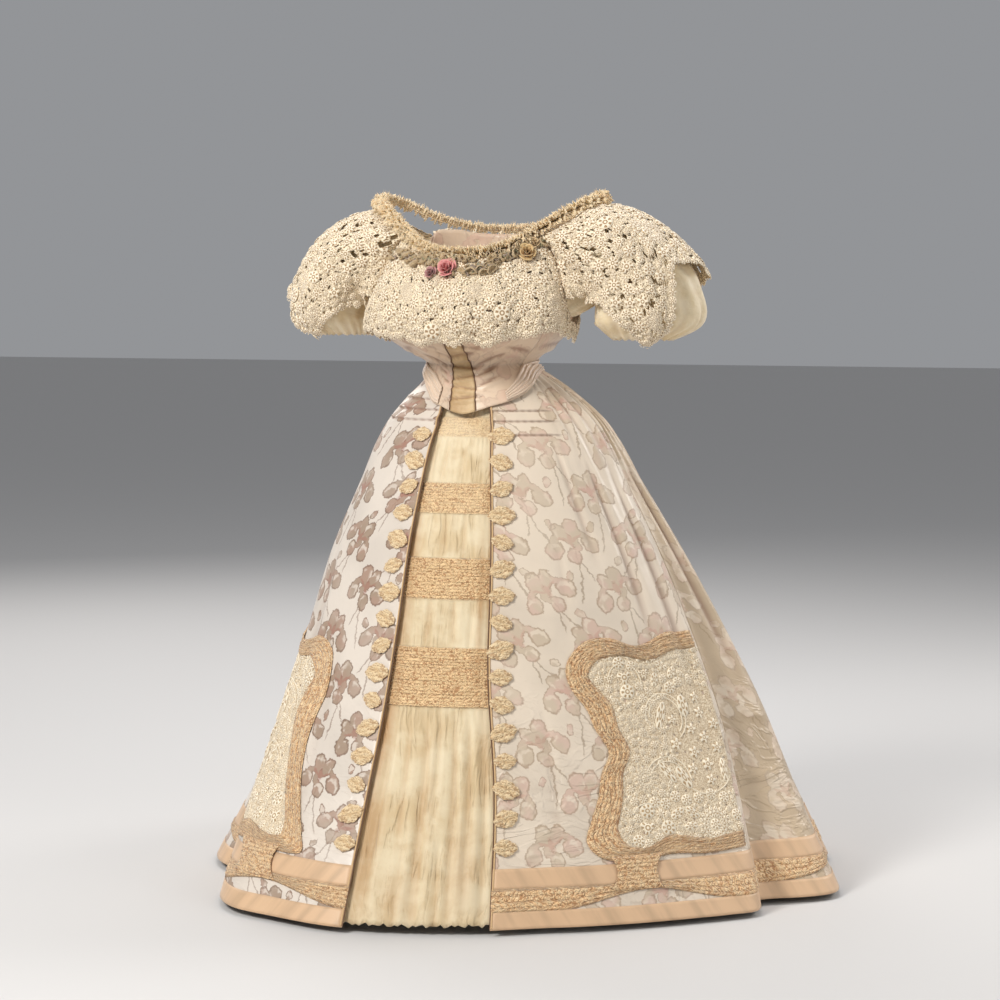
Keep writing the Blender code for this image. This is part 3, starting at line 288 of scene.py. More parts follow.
def cloth_shell(name, outer, thickness, material, ring=False, kept=None, mark=0.0, tone=0.0):
    """A thin closed piece of cloth from a grid of points on its outer face, open where cells aren't kept.

    The mark and the tone are numbers from 0 to 1 at each point, which its material reads. The tone is how much shade is
    painted there, and on the underskirt its stains as well.
    """
    rows, columns = outer.shape[:2]
    beside = np.concatenate([outer[:, -1:], outer, outer[:, :1]], axis=1) if ring else outer
    across = np.gradient(beside, axis=1)
    across = across[:, 1:-1] if ring else across
    inner = outer - unit(np.cross(np.gradient(outer, axis=0), across)) * thickness
    spans = columns if ring else columns - 1
    kept = np.ones((rows - 1, spans), bool) if kept is None else kept
    i, j = np.meshgrid(np.arange(rows - 1), np.arange(spans), indexing="ij")
    a, b = i * columns + j, i * columns + (j + 1) % columns
    c, d = b + columns, a + columns
    around = np.zeros((rows + 1, spans + 2), bool)
    around[1:-1, 1:-1] = kept
    if ring:
        around[1:-1, 0], around[1:-1, -1] = kept[:, -1], kept[:, 0]
    count = rows * columns
    faces = [np.stack([a, d, c, b], -1)[kept], np.stack([a, b, c, d], -1)[kept] + count]
    for first, second, neighbour in (
        (a, b, around[:-2, 1:-1]), (c, d, around[2:, 1:-1]), (d, a, around[1:-1, :-2]), (b, c, around[1:-1, 2:]),
    ):
        rim = kept & ~neighbour
        faces.append(np.stack([first, second, second + count, first + count], -1)[rim])
    used, faces = np.unique(np.concatenate(faces), return_inverse=True)
    vertices = np.concatenate([outer.reshape(-1, 3), inner.reshape(-1, 3)])[used]
    flat = np.concatenate([flat_places(outer).reshape(-1, 2)] * 2)[used]
    marks, tones = (np.concatenate([np.broadcast_to(value, (rows, columns)).ravel()] * 2)[used]
                    for value in (mark, tone))
    return make_mesh(name, vertices, faces.reshape(-1, 4), flat, marks, tones, material)


def dress(piece, slot, *nodes):
    """Let a piece ride on the gown, in place of these solids if any; the material slot is not used."""
    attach(piece, "root")
    if nodes:
        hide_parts(*nodes)
    return piece


def front_to_back(garment, side):
    """The names of the cloth of one side's front, side and back."""
    return [f"cloth_{garment}_{part}_{side}" for part in ("front", "side", "back")]


def run_length(points):
    """The length of a line of points."""
    return np.linalg.norm(np.diff(points, axis=0), axis=1).sum()


def distances_along(points):
    """How far each point of a line is from its start."""
    return np.concatenate([[0], np.cumsum(np.linalg.norm(np.diff(points, axis=0), axis=1))])


def sew(name, outer, thickness, material, slot, held, rests_on, nodes=(), fullness=1.0, widest=None, ring=False,
        kept=None, **shades):
    """Dress the gown in a piece of cloth, and work out the size of the flat cut that it was before it was hung or
    gathered, which is not kept.
    """
    piece = dress(cloth_shell(name, outer, thickness, material, ring, kept, **shades), slot, *nodes)
    closed = np.concatenate([outer, outer[:, :1]], axis=1) if ring else outer
    diagonals = closed[1:, 1:] - closed[:-1, :-1], closed[1:, :-1] - closed[:-1, 1:]
    cells = np.linalg.norm(np.cross(*diagonals), axis=2) / 2
    area = cells.sum() if kept is None else (cells * kept).sum()
    width = fullness * (widest or max(run_length(row) for row in closed))
    length = max(run_length(closed[:, column]) for column in range(closed.shape[1]))
    min(area * fullness, width * length)


# Brocade: ivory satin woven with large irises, whose blooms, buds and thin curved stems repeat with
# small changes. The colours differ from gore to gore: crisp on the right front and side, pale on the left front, taupe
# elsewhere.


def add_node(tree, kind, inputs=None, **settings):
    """A node with its settings and inputs; an input is a plain value, a socket or a Value."""
    node = tree.nodes.new(kind)
    for key, value in settings.items():
        setattr(node, key, value)
    for key, value in (inputs or {}).items():
        value = getattr(value, "socket", value)
        if isinstance(value, bpy.types.NodeSocket):
            tree.links.new(value, node.inputs[key])
        else:
            node.inputs[key].default_value = value
    return node


class Value:
    """A number, vector or colour in a material's nodes. Arithmetic on it adds the nodes that work it out."""

    def __init__(self, socket):
        self.socket, self.tree = socket, socket.id_data

    def node(self, kind, inputs, output=0, **settings):
        """One output of a new node beside this value."""
        return Value(add_node(self.tree, kind, inputs, **settings).outputs[output])

    def maths(self, operation, *others, output=0):
        kind = "ShaderNodeMath" if self.socket.type == "VALUE" else "ShaderNodeVectorMath"
        return self.node(kind, dict(enumerate((self, *others))), output, operation=operation)

    def __add__(self, other):
        return self.maths("ADD", other)

    def __sub__(self, other):
        return self.maths("SUBTRACT", other)

    def __mul__(self, other):
        return self.maths("MULTIPLY", other)

    def __or__(self, other):
        """The larger of the two."""
        return self.maths("MAXIMUM", other)

    def __abs__(self):
        return self.maths("ABSOLUTE")

    def length(self):
        return self.maths("LENGTH", output="Value")

    def parts(self):
        """Its x, y and z, or its red, green and blue."""
        kind = "ShaderNodeSeparateColor" if self.socket.type == "RGBA" else "ShaderNodeSeparateXYZ"
        return [Value(part) for part in add_node(self.tree, kind, {0: self}).outputs]

    def rise(self, low, high):
        """0 where it is below low and 1 where it is above high, smoothly; low may be the larger."""
        start, end = (1.0, 0.0) if low > high else (0.0, 1.0)
        return self.node("ShaderNodeMapRange", {"Value": self, "From Min": min(low, high), "From Max": max(low, high),
                         "To Min": start, "To Max": end}, "Result", interpolation_type="SMOOTHSTEP")

    def blend(self, first, second):
        """The first colour where it is 0, and the second where it is 1."""
        return self.node("ShaderNodeMix", {0: self, 6: first, 7: second}, 2, data_type="RGBA")

    def mix(self, first, second):
        """The first number where it is 0, and the second where it is 1."""
        return self.node("ShaderNodeMix", {0: self, 2: first, 3: second}, data_type="FLOAT")


def noise(place, scale, detail, roughness=0.5, distortion=0.0, output="Fac"):
    """Cloudy values round a half, this many to the metre."""
    return place.node("ShaderNodeTexNoise", {"Vector": place, "Scale": scale, "Detail": detail,
                      "Roughness": roughness, "Distortion": distortion}, output)


def scaled(place, *scale):
    return place.node("ShaderNodeMapping", {"Vector": place, "Scale": scale})


def drawn(place, name):
    """The mark or the tone that the cloth has here."""
    return place.node("ShaderNodeAttribute", {}, "Fac", attribute_name=name)


def srgb(red, green, blue):
    """A linear colour from the 0 to 255 values that a screen shows."""
    parts = [c / 255 for c in (red, green, blue)]
    return (*(p / 12.92 if p <= 0.04045 else ((p + 0.055) / 1.055) ** 2.4 for p in parts), 1.0)


def dimmed(colour, share):
    return (*(c * share for c in colour[:3]), 1.0)


def new_material(name, roughness, sheen, subsurface=0.0):
    """A cloth's material, with the numbers that are the same all over, and the place on its UV map."""
    material = bpy.data.materials.new(name)
    material.use_nodes = True
    inputs = material.node_tree.nodes["Principled BSDF"].inputs
    for key, value in (("Roughness", roughness), ("Sheen Weight", sheen), ("Sheen Roughness", 0.5),
                       ("Subsurface Weight", subsurface), ("Subsurface Radius", (0.004, 0.003, 0.002))):
        inputs[key].default_value = value
    return material, Value(add_node(material.node_tree, "ShaderNodeUVMap", uv_map="cloth").outputs[0])


def finish_cloth(material, colour, height, strength, distance):
    """Give a cloth its colour and its relief, which is this deep in metres."""
    tree = material.node_tree
    bump = add_node(tree, "ShaderNodeBump", {"Height": height, "Strength": strength, "Distance": distance})
    for result, key in ((colour.socket, "Base Color"), (bump.outputs[0], "Normal")):
        tree.links.new(result, tree.nodes["Principled BSDF"].inputs[key])
    return material


Petal = namedtuple("Petal", "x y turn half_width half_length")
IRIS_PETALS = table(Petal, (-0.74, -0.16, -34, 0.34, 0.4), (0.8, -0.1, 38, 0.36, 0.42), (-0.2, 0.62, 14, 0.34, 0.4),
    (0.3, 0.56, -26, 0.27, 0.4), (0.12, -0.48, -10, 0.3, 0.34))
IRIS_THROATS = table(Petal, (0.03, 0.14, 4, 0.13, 0.36), (-0.26, 0.22, 62, 0.08, 0.3), (0.3, 0.24, -62, 0.08, 0.28))
IRIS_LEAVES = table(Petal, (-0.16, -1.1, -14, 0.034, 0.5), (0.34, -1.7, 22, 0.038, 0.34))
IRIS_BUD = table(Petal, (0.66, -1.2, 30, 0.15, 0.24))
Claw = namedtuple("Claw", "x y turn radius half_width")
IRIS_CLAWS = table(Claw, (-0.4, -0.04, 6, 0.36, 0.13), (0.43, 0.02, -6, 0.38, 0.13), (0.02, -0.02, 92, 0.22, 0.13))
IRIS_OUTLINES = ("Petals", "Light", "Edges", "Throat", "Stem")
IRIS_UNIT = 0.05
IRIS_CELL = (0.146, 0.196)


def placed_in(place, x, y, turn, width, length):
    """A place measured from a part of the iris: its centre, its turn and its two half sizes."""
    return place.node("ShaderNodeMapping", {
        "Vector": place, "Location": (x, y, 0), "Rotation": (0, 0, math.radians(turn)), "Scale": (width, length, 1),
    }, vector_type="TEXTURE")


def nearest(distances):
    return reduce(lambda first, second: first.maths("MINIMUM", second), distances)


def nearest_petal(place, petals):
    """The distance to the nearest of some petals, in half widths: under 1 is inside one."""
    return nearest([placed_in(place, *petal).length() for petal in petals])


def claw_distance(place, claw):
    """The same for an arched claw that joins a petal to the throat, half of a ring."""
    local = placed_in(place, claw.x, claw.y, claw.turn, claw.radius, claw.radius)
    away = abs(local.length() - 1.0) * (claw.radius / claw.half_width)
    return away | local.parts()[1].maths("MULTIPLY_ADD", -6.0, 0.4)


def iris_group():
    """A node group: an iris on its stem. It takes a place in iris units and gives five soft outlines."""
    tree = bpy.data.node_groups.new("woven_iris", "ShaderNodeTree")
    tree.interface.new_socket("Place", in_out="INPUT", socket_type="NodeSocketVector")
    for name in IRIS_OUTLINES:
        tree.interface.new_socket(name, in_out="OUTPUT", socket_type="NodeSocketFloat")
    place = Value(tree.nodes.new("NodeGroupInput").outputs["Place"])
    blades = nearest_petal(place, IRIS_PETALS).maths("MINIMUM", nearest_petal(place, IRIS_BUD))
    petals = blades.maths("SMOOTH_MIN", nearest([claw_distance(place, claw) for claw in IRIS_CLAWS]), 0.55)
    inside = petals.rise(1.05, 0.93)
    crescent = blades.rise(0.84, 0.7) * nearest_petal(place + (0.09, 0.15, 0.0), IRIS_PETALS).rise(0.62, 0.8)
    x, y, _ = place.parts()
    stem = abs(x - y * y * 0.11).rise(0.042, 0.02) * (y.rise(0.05, -0.1) * y.rise(-2.35, -2.2))
    outlines = (inside, crescent, inside * petals.rise(0.74, 0.95), nearest_petal(place, IRIS_THROATS).rise(1.1, 0.6),
                stem | nearest_petal(place, IRIS_LEAVES).rise(1.1, 0.9))
    end = tree.nodes.new("NodeGroupOutput")
    for name, outline in zip(IRIS_OUTLINES, outlines):
        tree.links.new(outline.socket, end.inputs[name])
    return tree


woven_iris = iris_group()


def iris_layer(place, shift, lean):
    """The outlines of one set of irises, one in each cell of the repeat, leaning and mirrored by turns."""
    width, height = IRIS_CELL
    cells = (place + (*shift, 0)).maths("DIVIDE", (width, height, 1))
    number = cells.maths("FLOOR")
    chance = place.node("ShaderNodeTexWhiteNoise", {"Vector": number}, "Color", noise_dimensions="3D")
    turning, siding, _ = chance.parts()
    local = placed_in(cells - number, 0.5, 0.66, 0, IRIS_UNIT / width, IRIS_UNIT / height)
    local = place.node("ShaderNodeVectorRotate", {"Vector": local, "Angle": (turning - 0.5) * lean},
                       rotation_type="Z_AXIS")
    mirrored = place.node("ShaderNodeCombineXYZ", {0: (siding - 0.5).maths("SIGN"), 1: 1.0, 2: 0.0})
    iris = add_node(place.tree, "ShaderNodeGroup", node_tree=woven_iris)
    place.tree.links.new((local * mirrored).socket, iris.inputs[0])
    return [Value(iris.outputs[name]) for name in IRIS_OUTLINES]


Weave = namedtuple("Weave", "ground petals blush edges throat stem")


def brocade(name, weave, strength, rumple, crushed=0.0):
    """Satin woven with irises: its six colours, how strongly they show and how rumpled the cloth is.

    Where the cloth's mark is above 0 it is crushed, with fine sharp wrinkles. Where its tone is, it is shaded.
    """
    material, cloth = new_material(name, 0.44, sheen=0.2)
    ragged = noise(cloth, 70.0, 3.0, roughness=0.65, output="Color")
    place = cloth + (ragged - (0.5, 0.5, 0.5)) * (0.017, 0.017, 0.0)
    first = iris_layer(place, (0.03, 0.05), 1.0)
    second = iris_layer(place, (0.03 + IRIS_CELL[0] / 2, 0.05 + IRIS_CELL[1] / 2), 1.2)
    petals, light, edges, throat, stem = (a | b for a, b in zip(first, second))
    light = light * noise(cloth, 42.0, 2.0).rise(0.42, 0.58)
    cloud, tint = noise(cloth, 6.0, 4.0), noise(cloth, 19.0, 2.0)
    colour = cloud.rise(0.38, 0.66).blend(weave.ground, dimmed(weave.ground, 0.88))
    filled = tint.rise(0.42, 0.6).blend(weave.petals, weave.blush)
    fading = cloud.rise(0.3, 0.55).maths("MULTIPLY_ADD", 0.3, 0.7)
    for mask, shade, share in ((stem, weave.stem, 0.7), (petals, filled, 0.92), (throat, weave.throat, 0.5),
                               (light, weave.ground, 0.72), (edges, weave.edges, 0.72)):
        colour = (mask * fading * (share * strength)).blend(colour, shade)
    # Painted shade: the tone darkens the brocade towards reddish brown in its creases, under its tucks and in its
    # folds.
    colour = (drawn(cloth, "tone") * 0.7).blend(colour, srgb(138, 96, 74))
    figure = petals | stem
    dull = material.node_tree.nodes["Principled BSDF"].inputs["Roughness"]
    material.node_tree.links.new(figure.maths("MULTIPLY_ADD", 0.14, 0.38).socket, dull)
    relief = figure.maths("MULTIPLY_ADD", 0.035, noise(cloth, 17.0, 4.0, distortion=0.8) * rumple)
    if crushed:
        sharp = noise(scaled(cloth, 9.0, 17.0, 1.0), 1.0, 2.5, roughness=0.55, distortion=1.6)
        relief = relief + abs(sharp - 0.5).rise(0.085, 0.0) * drawn(cloth, "mark") * crushed
    return finish_cloth(material, colour, relief, 0.8, 0.007)


crisp = Weave(srgb(226, 215, 202), srgb(158, 134, 112), srgb(166, 134, 114), srgb(112, 86, 68),
              srgb(160, 100, 84), srgb(142, 118, 102))
pale = Weave(srgb(230, 215, 195), srgb(202, 184, 160), srgb(212, 184, 166), srgb(168, 144, 120),
             srgb(200, 156, 138), srgb(164, 144, 120))
taupe = Weave(srgb(202, 180, 150), srgb(226, 210, 188), srgb(218, 196, 172), srgb(168, 142, 112),
              srgb(200, 164, 140), srgb(172, 148, 118))
brocade_crisp = brocade("brocade_crisp", crisp, 1.0, 0.28, crushed=0.1)
brocade_pale = brocade("brocade_pale", pale, 1.0, 0.34, crushed=0.2)
brocade_taupe = brocade("brocade_taupe", taupe, 1.0, 0.4, crushed=0.2)

# Overskirt: six flared gores of the brocade, gathered at the back of the waist, with three tucks each side
# of the front. Soft creases fall from the waist, and the lower front is rumpled where it was folded away.
BROCADE = 0.001
Crease = namedtuple("Crease", "column top bottom lean width depth")
SKIRT_CREASES = table(Crease, (-40, 0.14, 0.6, 2, 1.8, 0.005), (-29, 0.3, 0.9, 1, 1.6, 0.003),
    (-20, 0.5, 0.95, -1.5, 1.4, 0.0022), (-47, 0.2, 0.95, 1, 1.6, 0.006), (40, 0.13, 0.42, 3, 1.3, 0.004),
    (50, 0.13, 0.6, 2, 1.4, 0.0055), (58, 0.16, 0.8, 1, 1.5, 0.006), (33, 0.3, 0.56, -2, 1.6, 0.002),
    (24, 0.62, 0.92, 1.5, 1.3, 0.0026), (76, 0.12, 0.7, 2, 1.8, 0.007), (90, 0.1, 0.6, 1, 2, 0.007),
    (105, 0.1, 0.75, 0.5, 2.2, 0.006), (132, 0.1, 0.6, -1, 2.2, 0.007), (158, 0.1, 0.8, 1, 2.4, 0.007),
    (-70, 0.1, 0.7, -1, 2, 0.006), (-88, 0.1, 0.62, 1, 2.2, 0.007), (-104, 0.1, 0.8, 0, 2.2, 0.006),
    (-132, 0.1, 0.66, 1, 2.4, 0.007), (-160, 0.1, 0.75, -1, 2.4, 0.007))
Rumple = namedtuple("Rumple", "column drop half_width half_height slope depth")
SKIRT_RUMPLES = table(Rumple, (24, 0.69, 4, 0.006, 0.004, 0.003), (29, 0.735, 3, 0.005, -0.003, 0.0024),
    (21, 0.77, 3.2, 0.006, 0.002, 0.003), (27, 0.815, 4.4, 0.007, 0.003, 0.0034),
    (24, 0.86, 3.6, 0.006, -0.004, 0.003), (20, 0.895, 2.6, 0.005, 0.004, 0.0026),
    (30, 0.655, 3, 0.006, 0.005, 0.0022), (45, 0.965, 5, 0.006, -0.002, 0.003), (-15, 0.72, 3, 0.006, -0.003, 0.0022),
    (-17, 0.86, 3.4, 0.006, 0.003, 0.0026), (75, 0.8, 4, 0.008, 0.004, 0.004), (82, 0.86, 5, 0.008, -0.004, 0.004),
    (100, 0.84, 5, 0.008, 0.003, 0.004), (78, 0.69, 4, 0.008, 0.006, 0.0034))


def crease_relief(creases, column, drop):
    """How far the listed creases sink the cloth, with a soft ridge beside each."""
    relief = np.zeros(np.broadcast(column, drop).shape)
    for crease in creases:
        share = (drop - crease.top) / (crease.bottom - crease.top)
        beside = (column - crease.column - crease.lean * share) / (crease.width * (0.55 + 0.6 * np.clip(share, 0, 1)))
        along = ease(share / 0.25) * ease((1 - share) / 0.4)
        relief += crease.depth * along * (0.5 * np.exp(-((beside - 1.9) / 1.2) ** 2) - np.exp(-beside ** 2))
    return relief


def skirt_relief(column, drop):
    """How far gathers, tucks, creases and rumples raise or sink the cloth."""
    from_edge = np.where(column < 0, RIGHT_EDGE - column, column - LEFT_EDGE)
    waist_fade = ease(drop / 0.06)
    gather = 0.0034 * waist_fade * ease((0.3 - drop) / 0.24) * ease((from_edge - 24) / 16)
    relief = gather * np.sin(np.radians(column) * 72 + 1.1 * np.sin(np.radians(column * 9)))
    for side, tucks in ((-1, RIGHT_TUCKS), (1, LEFT_TUCKS)):
        near_front = ease((34 - from_edge) / 10) * (np.sign(column) == side)
        for tuck in tucks:
            above = tuck + 0.001 - drop
            relief += 0.0044 * near_front * np.where((above > 0) & (above < 0.017), 1 - above / 0.017, 0.0)
    relief += waist_fade * crease_relief(SKIRT_CREASES, column, drop)
    for rumple in SKIRT_RUMPLES:
        across = (column - rumple.column) / rumple.half_width
        up_down = (drop - rumple.drop - rumple.slope * across) / rumple.half_height
        relief += rumple.depth * np.exp(-across ** 2) * (np.exp(-up_down ** 2) - 0.6 * np.exp(-(up_down - 1.6) ** 2))
    return relief


def on_skirt(column, drop, lift=0.0):
    """Points lifted off the skirt's outer face, with the creases that show through."""
    points, normals = skirt_frame(column, drop)
    return points + normals * (lift + skirt_relief(column, drop))[..., None]


def skirt_shade(columns, drops, tucks):
    """How shaded the cloth is, from 0 to 1, in its creases and under its tucks."""
    column, drop = grid_of(columns, drops)
    shade = ease(-skirt_relief(column, drop) / 0.009)
    for tuck in tucks:
        near_front = ease((34 - np.where(column < 0, RIGHT_EDGE - column, column - LEFT_EDGE)) / 10)
        uneven = 0.7 + 0.3 * np.sin(column * 1.9 + 60 * tuck)
        shade = np.maximum(shade, near_front * uneven * np.exp(-((drop - tuck - 0.0022) / 0.0016) ** 2))
    return shade


def tuck_rows(tucks, widest):
    """Rows of the skirt's grid with extra rows at the folds of the tucks."""
    rows = set(np.round(steps(0.0, HEM, widest), 5))
    for tuck in tucks:
        rows |= {round(tuck + step, 5) for step in (-0.016, -0.008, 0.0, 0.0008, 0.0014, 0.0028, 0.005)}
    return np.array(sorted(rows))


SEAM = 0.02  # degrees of column left open beside each seam
CRUSHED_BELOW = 0.52
Gore = namedtuple("Gore", "node start end tucks step material")
for gore in (
    Gore("skirt_front_right", RIGHT_SIDE_SEAM, RIGHT_EDGE, RIGHT_TUCKS, 0.7, brocade_crisp),
    Gore("skirt_side_right", RIGHT_BACK_SEAM, RIGHT_SIDE_SEAM, (), 1.3, brocade_crisp),
    Gore("skirt_back_right", -180, RIGHT_BACK_SEAM, (), 1.3, brocade_taupe),
    Gore("skirt_front_left", LEFT_EDGE, LEFT_SIDE_SEAM, LEFT_TUCKS, 0.7, brocade_pale),
    Gore("skirt_side_left", LEFT_SIDE_SEAM, LEFT_BACK_SEAM, (), 1.1, brocade_taupe),
    Gore("skirt_back_left", LEFT_BACK_SEAM, 180, (), 1.3, brocade_taupe),
):
    columns, drops = steps(gore.start + SEAM, gore.end - SEAM, gore.step), tuck_rows(gore.tucks, 0.0095)
    outer = on_skirt(*grid_of(columns, drops))
    crushed = ease((drops - CRUSHED_BELOW) / 0.25)[:, None] * np.ones(len(columns))
    shade = skirt_shade(columns, drops, gore.tucks)
    sew(f"cloth_{gore.node}", outer, BROCADE, gore.material, "iris_brocade", "hung", ["waistband_brocade"],
        [gore.node], mark=crushed, tone=shade)

# Underskirt: a straight panel of pale gold chiffon behind the opening. Four bands of fine shirring cross it,
# each of rows drawn up on a thread, and it hangs loose below them to a slightly ragged hem.
CHIFFON = 0.0008
SHIRRED_BANDS = ((0.1, 0.134), (0.225, 0.279), (0.365, 0.439), (0.53, 0.635))
SHIRRING_PITCH = 0.0066
PANEL_ENDS = (-14.0, 19.0)
PANEL_BEHIND = 0.0024
PANEL_SET_BACK = 0.0063
PANEL_CREASES = table(Crease, (-8, 0.14, 0.24, 0.6, 1, 0.0022), (-3, 0.13, 0.23, -0.4, 1.2, 0.0026),
    (3.5, 0.14, 0.23, 0.3, 0.9, 0.002), (-6, 0.27, 0.37, -0.5, 0.9, 0.0024), (0, 0.28, 0.37, 0.5, 1.1, 0.0026),
    (6, 0.27, 0.38, 0.2, 0.9, 0.0022), (-7, 0.43, 0.54, 0.6, 1, 0.0024), (-1.5, 0.43, 0.54, -0.5, 1.2, 0.003),
    (4.5, 0.43, 0.54, 0.4, 1, 0.0024), (9.5, 0.43, 0.54, -0.2, 0.9, 0.0022), (-6.5, 0.62, 1.1, -1, 0.9, 0.005),
    (-3.2, 0.62, 0.95, 0.8, 0.7, 0.0034), (0.5, 0.62, 1.1, 1, 1, 0.0056), (3.4, 0.63, 0.9, -0.6, 0.6, 0.003),
    (6.4, 0.62, 1.1, 0.7, 0.9, 0.005), (9.6, 0.62, 1.05, -0.5, 0.8, 0.0044), (12.2, 0.63, 1.1, 0.4, 0.7, 0.0036),
    (-1.2, 0.8, 1.12, -0.8, 0.6, 0.0034), (4.6, 0.84, 1.12, 0.5, 0.6, 0.0034))


def wavering(x, seed):
    """A slow uneven wave between -1 and 1 that never quite repeats."""
    return (np.sin(x * 1.31 + seed) + np.sin(x * 2.47 + 2.1 * seed) + np.sin(x * 4.13 + 3.7 * seed)) / 3


def shirred(column, drop, lines):
    """Shirring between two rows of stitching: gathered puffs with a crumbled face."""
    puff = np.abs(np.sin(np.pi * lines)) ** 0.6
    crumb = np.sin(column * 9.1 + 3 * np.sin(lines * 2.3)) * np.sin(column * 5.3 + lines * 4.1)
    return 0.0018 * puff + 0.0012 * crumb * puff


def panel_relief(column, drop):
    relief = 1.5 * crease_relief(PANEL_CREASES, column, drop)
    for top, bottom in SHIRRED_BANDS:
        inside = ease((drop - top + 0.004) / 0.004) * ease((bottom + 0.004 - drop) / 0.004)
        relief = relief * (1 - inside) + inside * (0.001 + shirred(column, drop, (drop - top) / SHIRRING_PITCH))
        for line, away in ((top, -1), (bottom, 1)):
            beside = (drop - line) * away
            gathers = np.sin(column * 3.9 + wavering(column, line * 30) * 2)
            relief += 0.0012 * gathers * ease(beside / 0.004) * ease((0.045 - beside) / 0.04)
    return relief


panel_drops = sorted(
    {round(drop, 5) for top, bottom in SHIRRED_BANDS for drop in steps(top - 0.006, bottom + 0.006, 0.0033)}
    | {round(drop, 5) for drop in steps(0.0, HEM - 0.01, 0.009)}
)
column, drop = grid_of(steps(*PANEL_ENDS, 0.56), panel_drops)
drop = drop + 0.0035 * wavering(column * 1.7, 5.0) * ease((drop - 0.95) / 0.05)
points, normals = skirt_frame(column, drop)
panel = points + normals * (panel_relief(column, drop) - PANEL_BEHIND - PANEL_SET_BACK * ease(drop / 0.09))[..., None]


def chiffon(name, light, dark, scale, roughness=0.72, fine=0.5, pleats=None):
    """Plain silk chiffon: two tints, the size of its crumple and how it is pleated."""
    material, cloth = new_material(name, roughness, sheen=0.3, subsurface=0.08)
    colour = noise(cloth, 14.0, 5.0, roughness=0.6).rise(0.34, 0.66).blend(light, dark)
    # Painted shade: the tone darkens the chiffon towards brown in the hollows of its folds.
    colour = (drawn(cloth, "tone") * 0.6).blend(colour, srgb(140, 100, 62))
    height = noise(cloth, scale, 4.0, roughness=0.6, distortion=0.6)
    if pleats:
        height = height.maths("MULTIPLY_ADD", 0.4, noise(scaled(cloth, *pleats), 1.0, 3.0))
    return finish_cloth(material, colour, height, fine, 0.004)


def gathered(cloth, pitch):
    """Chiffon drawn up in rows of crumbs: where shade is painted in its hollows, and how high it stands."""
    line = noise(cloth, 55.0, 1.0).maths("MULTIPLY_ADD", 0.006, cloth.parts()[1]) * (math.pi / pitch)
    puff = abs(line.maths("SINE"))
    crumbs = add_node(cloth.tree, "ShaderNodeTexVoronoi", {"Vector": scaled(cloth, 230.0, 300.0, 1.0), "Scale": 1.0,
                      "Randomness": 1.0})
    crumb, chance = Value(crumbs.outputs["Distance"]).rise(0.75, 0.15), Value(crumbs.outputs["Color"]).parts()[0]
    rows = puff.rise(0.5, 0.1) * noise(cloth, 480.0, 1.0).rise(0.44, 0.56)
    hollow = crumb.rise(0.62, 0.15) * chance.rise(0.35, 0.6) | rows
    return hollow, puff.maths("MULTIPLY_ADD", 0.7, crumb * 0.8)


# The third tint is the colour of the shade painted in the hollows.
Tints = namedtuple("Tints", "light dark hollow")


def ruched_chiffon(name, tints, pitch, strength=0.9):
    """Silk chiffon ruched in rows this far apart."""
    material, cloth = new_material(name, 0.8, sheen=0.3)
    hollow, height = gathered(cloth, pitch)
    colour = noise(cloth, 90.0, 3.0).rise(0.38, 0.62).blend(tints.light, tints.dark)
    # Painted shade darkens the hollows between the crumbs and between the rows.
    return finish_cloth(material, (hollow * 0.74).blend(colour, tints.hollow), height, strength, 0.0035)


PANEL_TINTS = Tints(srgb(230, 214, 180), srgb(214, 190, 148), srgb(176, 152, 112))
PANEL_STAIN_AND_SHADE = srgb(182, 138, 88)
SHIRRED_LIGHT, SHIRRED_SHADE = srgb(250, 214, 162), srgb(168, 112, 64)


def panel_silk():
    """The underskirt's chiffon: soft lengthwise creases, and gold shirring where its mark is above 0."""
    material, cloth = new_material("panel_silk", 0.62, sheen=0.3, subsurface=0.05)
    marked, cloud = drawn(cloth, "mark"), noise(cloth, 9.0, 5.0, roughness=0.6)
    hollow, height = gathered(cloth, SHIRRING_PITCH)
    smooth = cloud.rise(0.36, 0.64).blend(PANEL_TINTS.light, PANEL_TINTS.dark)
    creases = abs(noise(scaled(cloth, 48.0, 7.0, 1.0), 1.0, 2.0, distortion=0.3) - 0.5).rise(0.09, 0.0)
    creases = creases * cloud.rise(0.4, 0.62)
    # Painted shade: the crease lines darken towards the third tint, as well as sinking the cloth.
    smooth = (creases * 0.34).blend(smooth, PANEL_TINTS.hollow)
    # Painted shade in the shirring's hollows and between its rows.
    rows = (hollow * 0.8).blend(SHIRRED_LIGHT, SHIRRED_SHADE)
    # The tone holds stains, and painted shade along the opening's edges and in the panel's creases.
    stained_and_shaded = drawn(cloth, "tone") * cloud.rise(0.3, 0.62).maths("MULTIPLY_ADD", 0.5, 0.5)
    colour = marked.blend(stained_and_shaded.blend(smooth, PANEL_STAIN_AND_SHADE), (stained_and_shaded * 0.7).blend(rows, PANEL_STAIN_AND_SHADE))
    return finish_cloth(material, colour, marked.mix(creases * -0.6, height), 0.8, 0.0032)


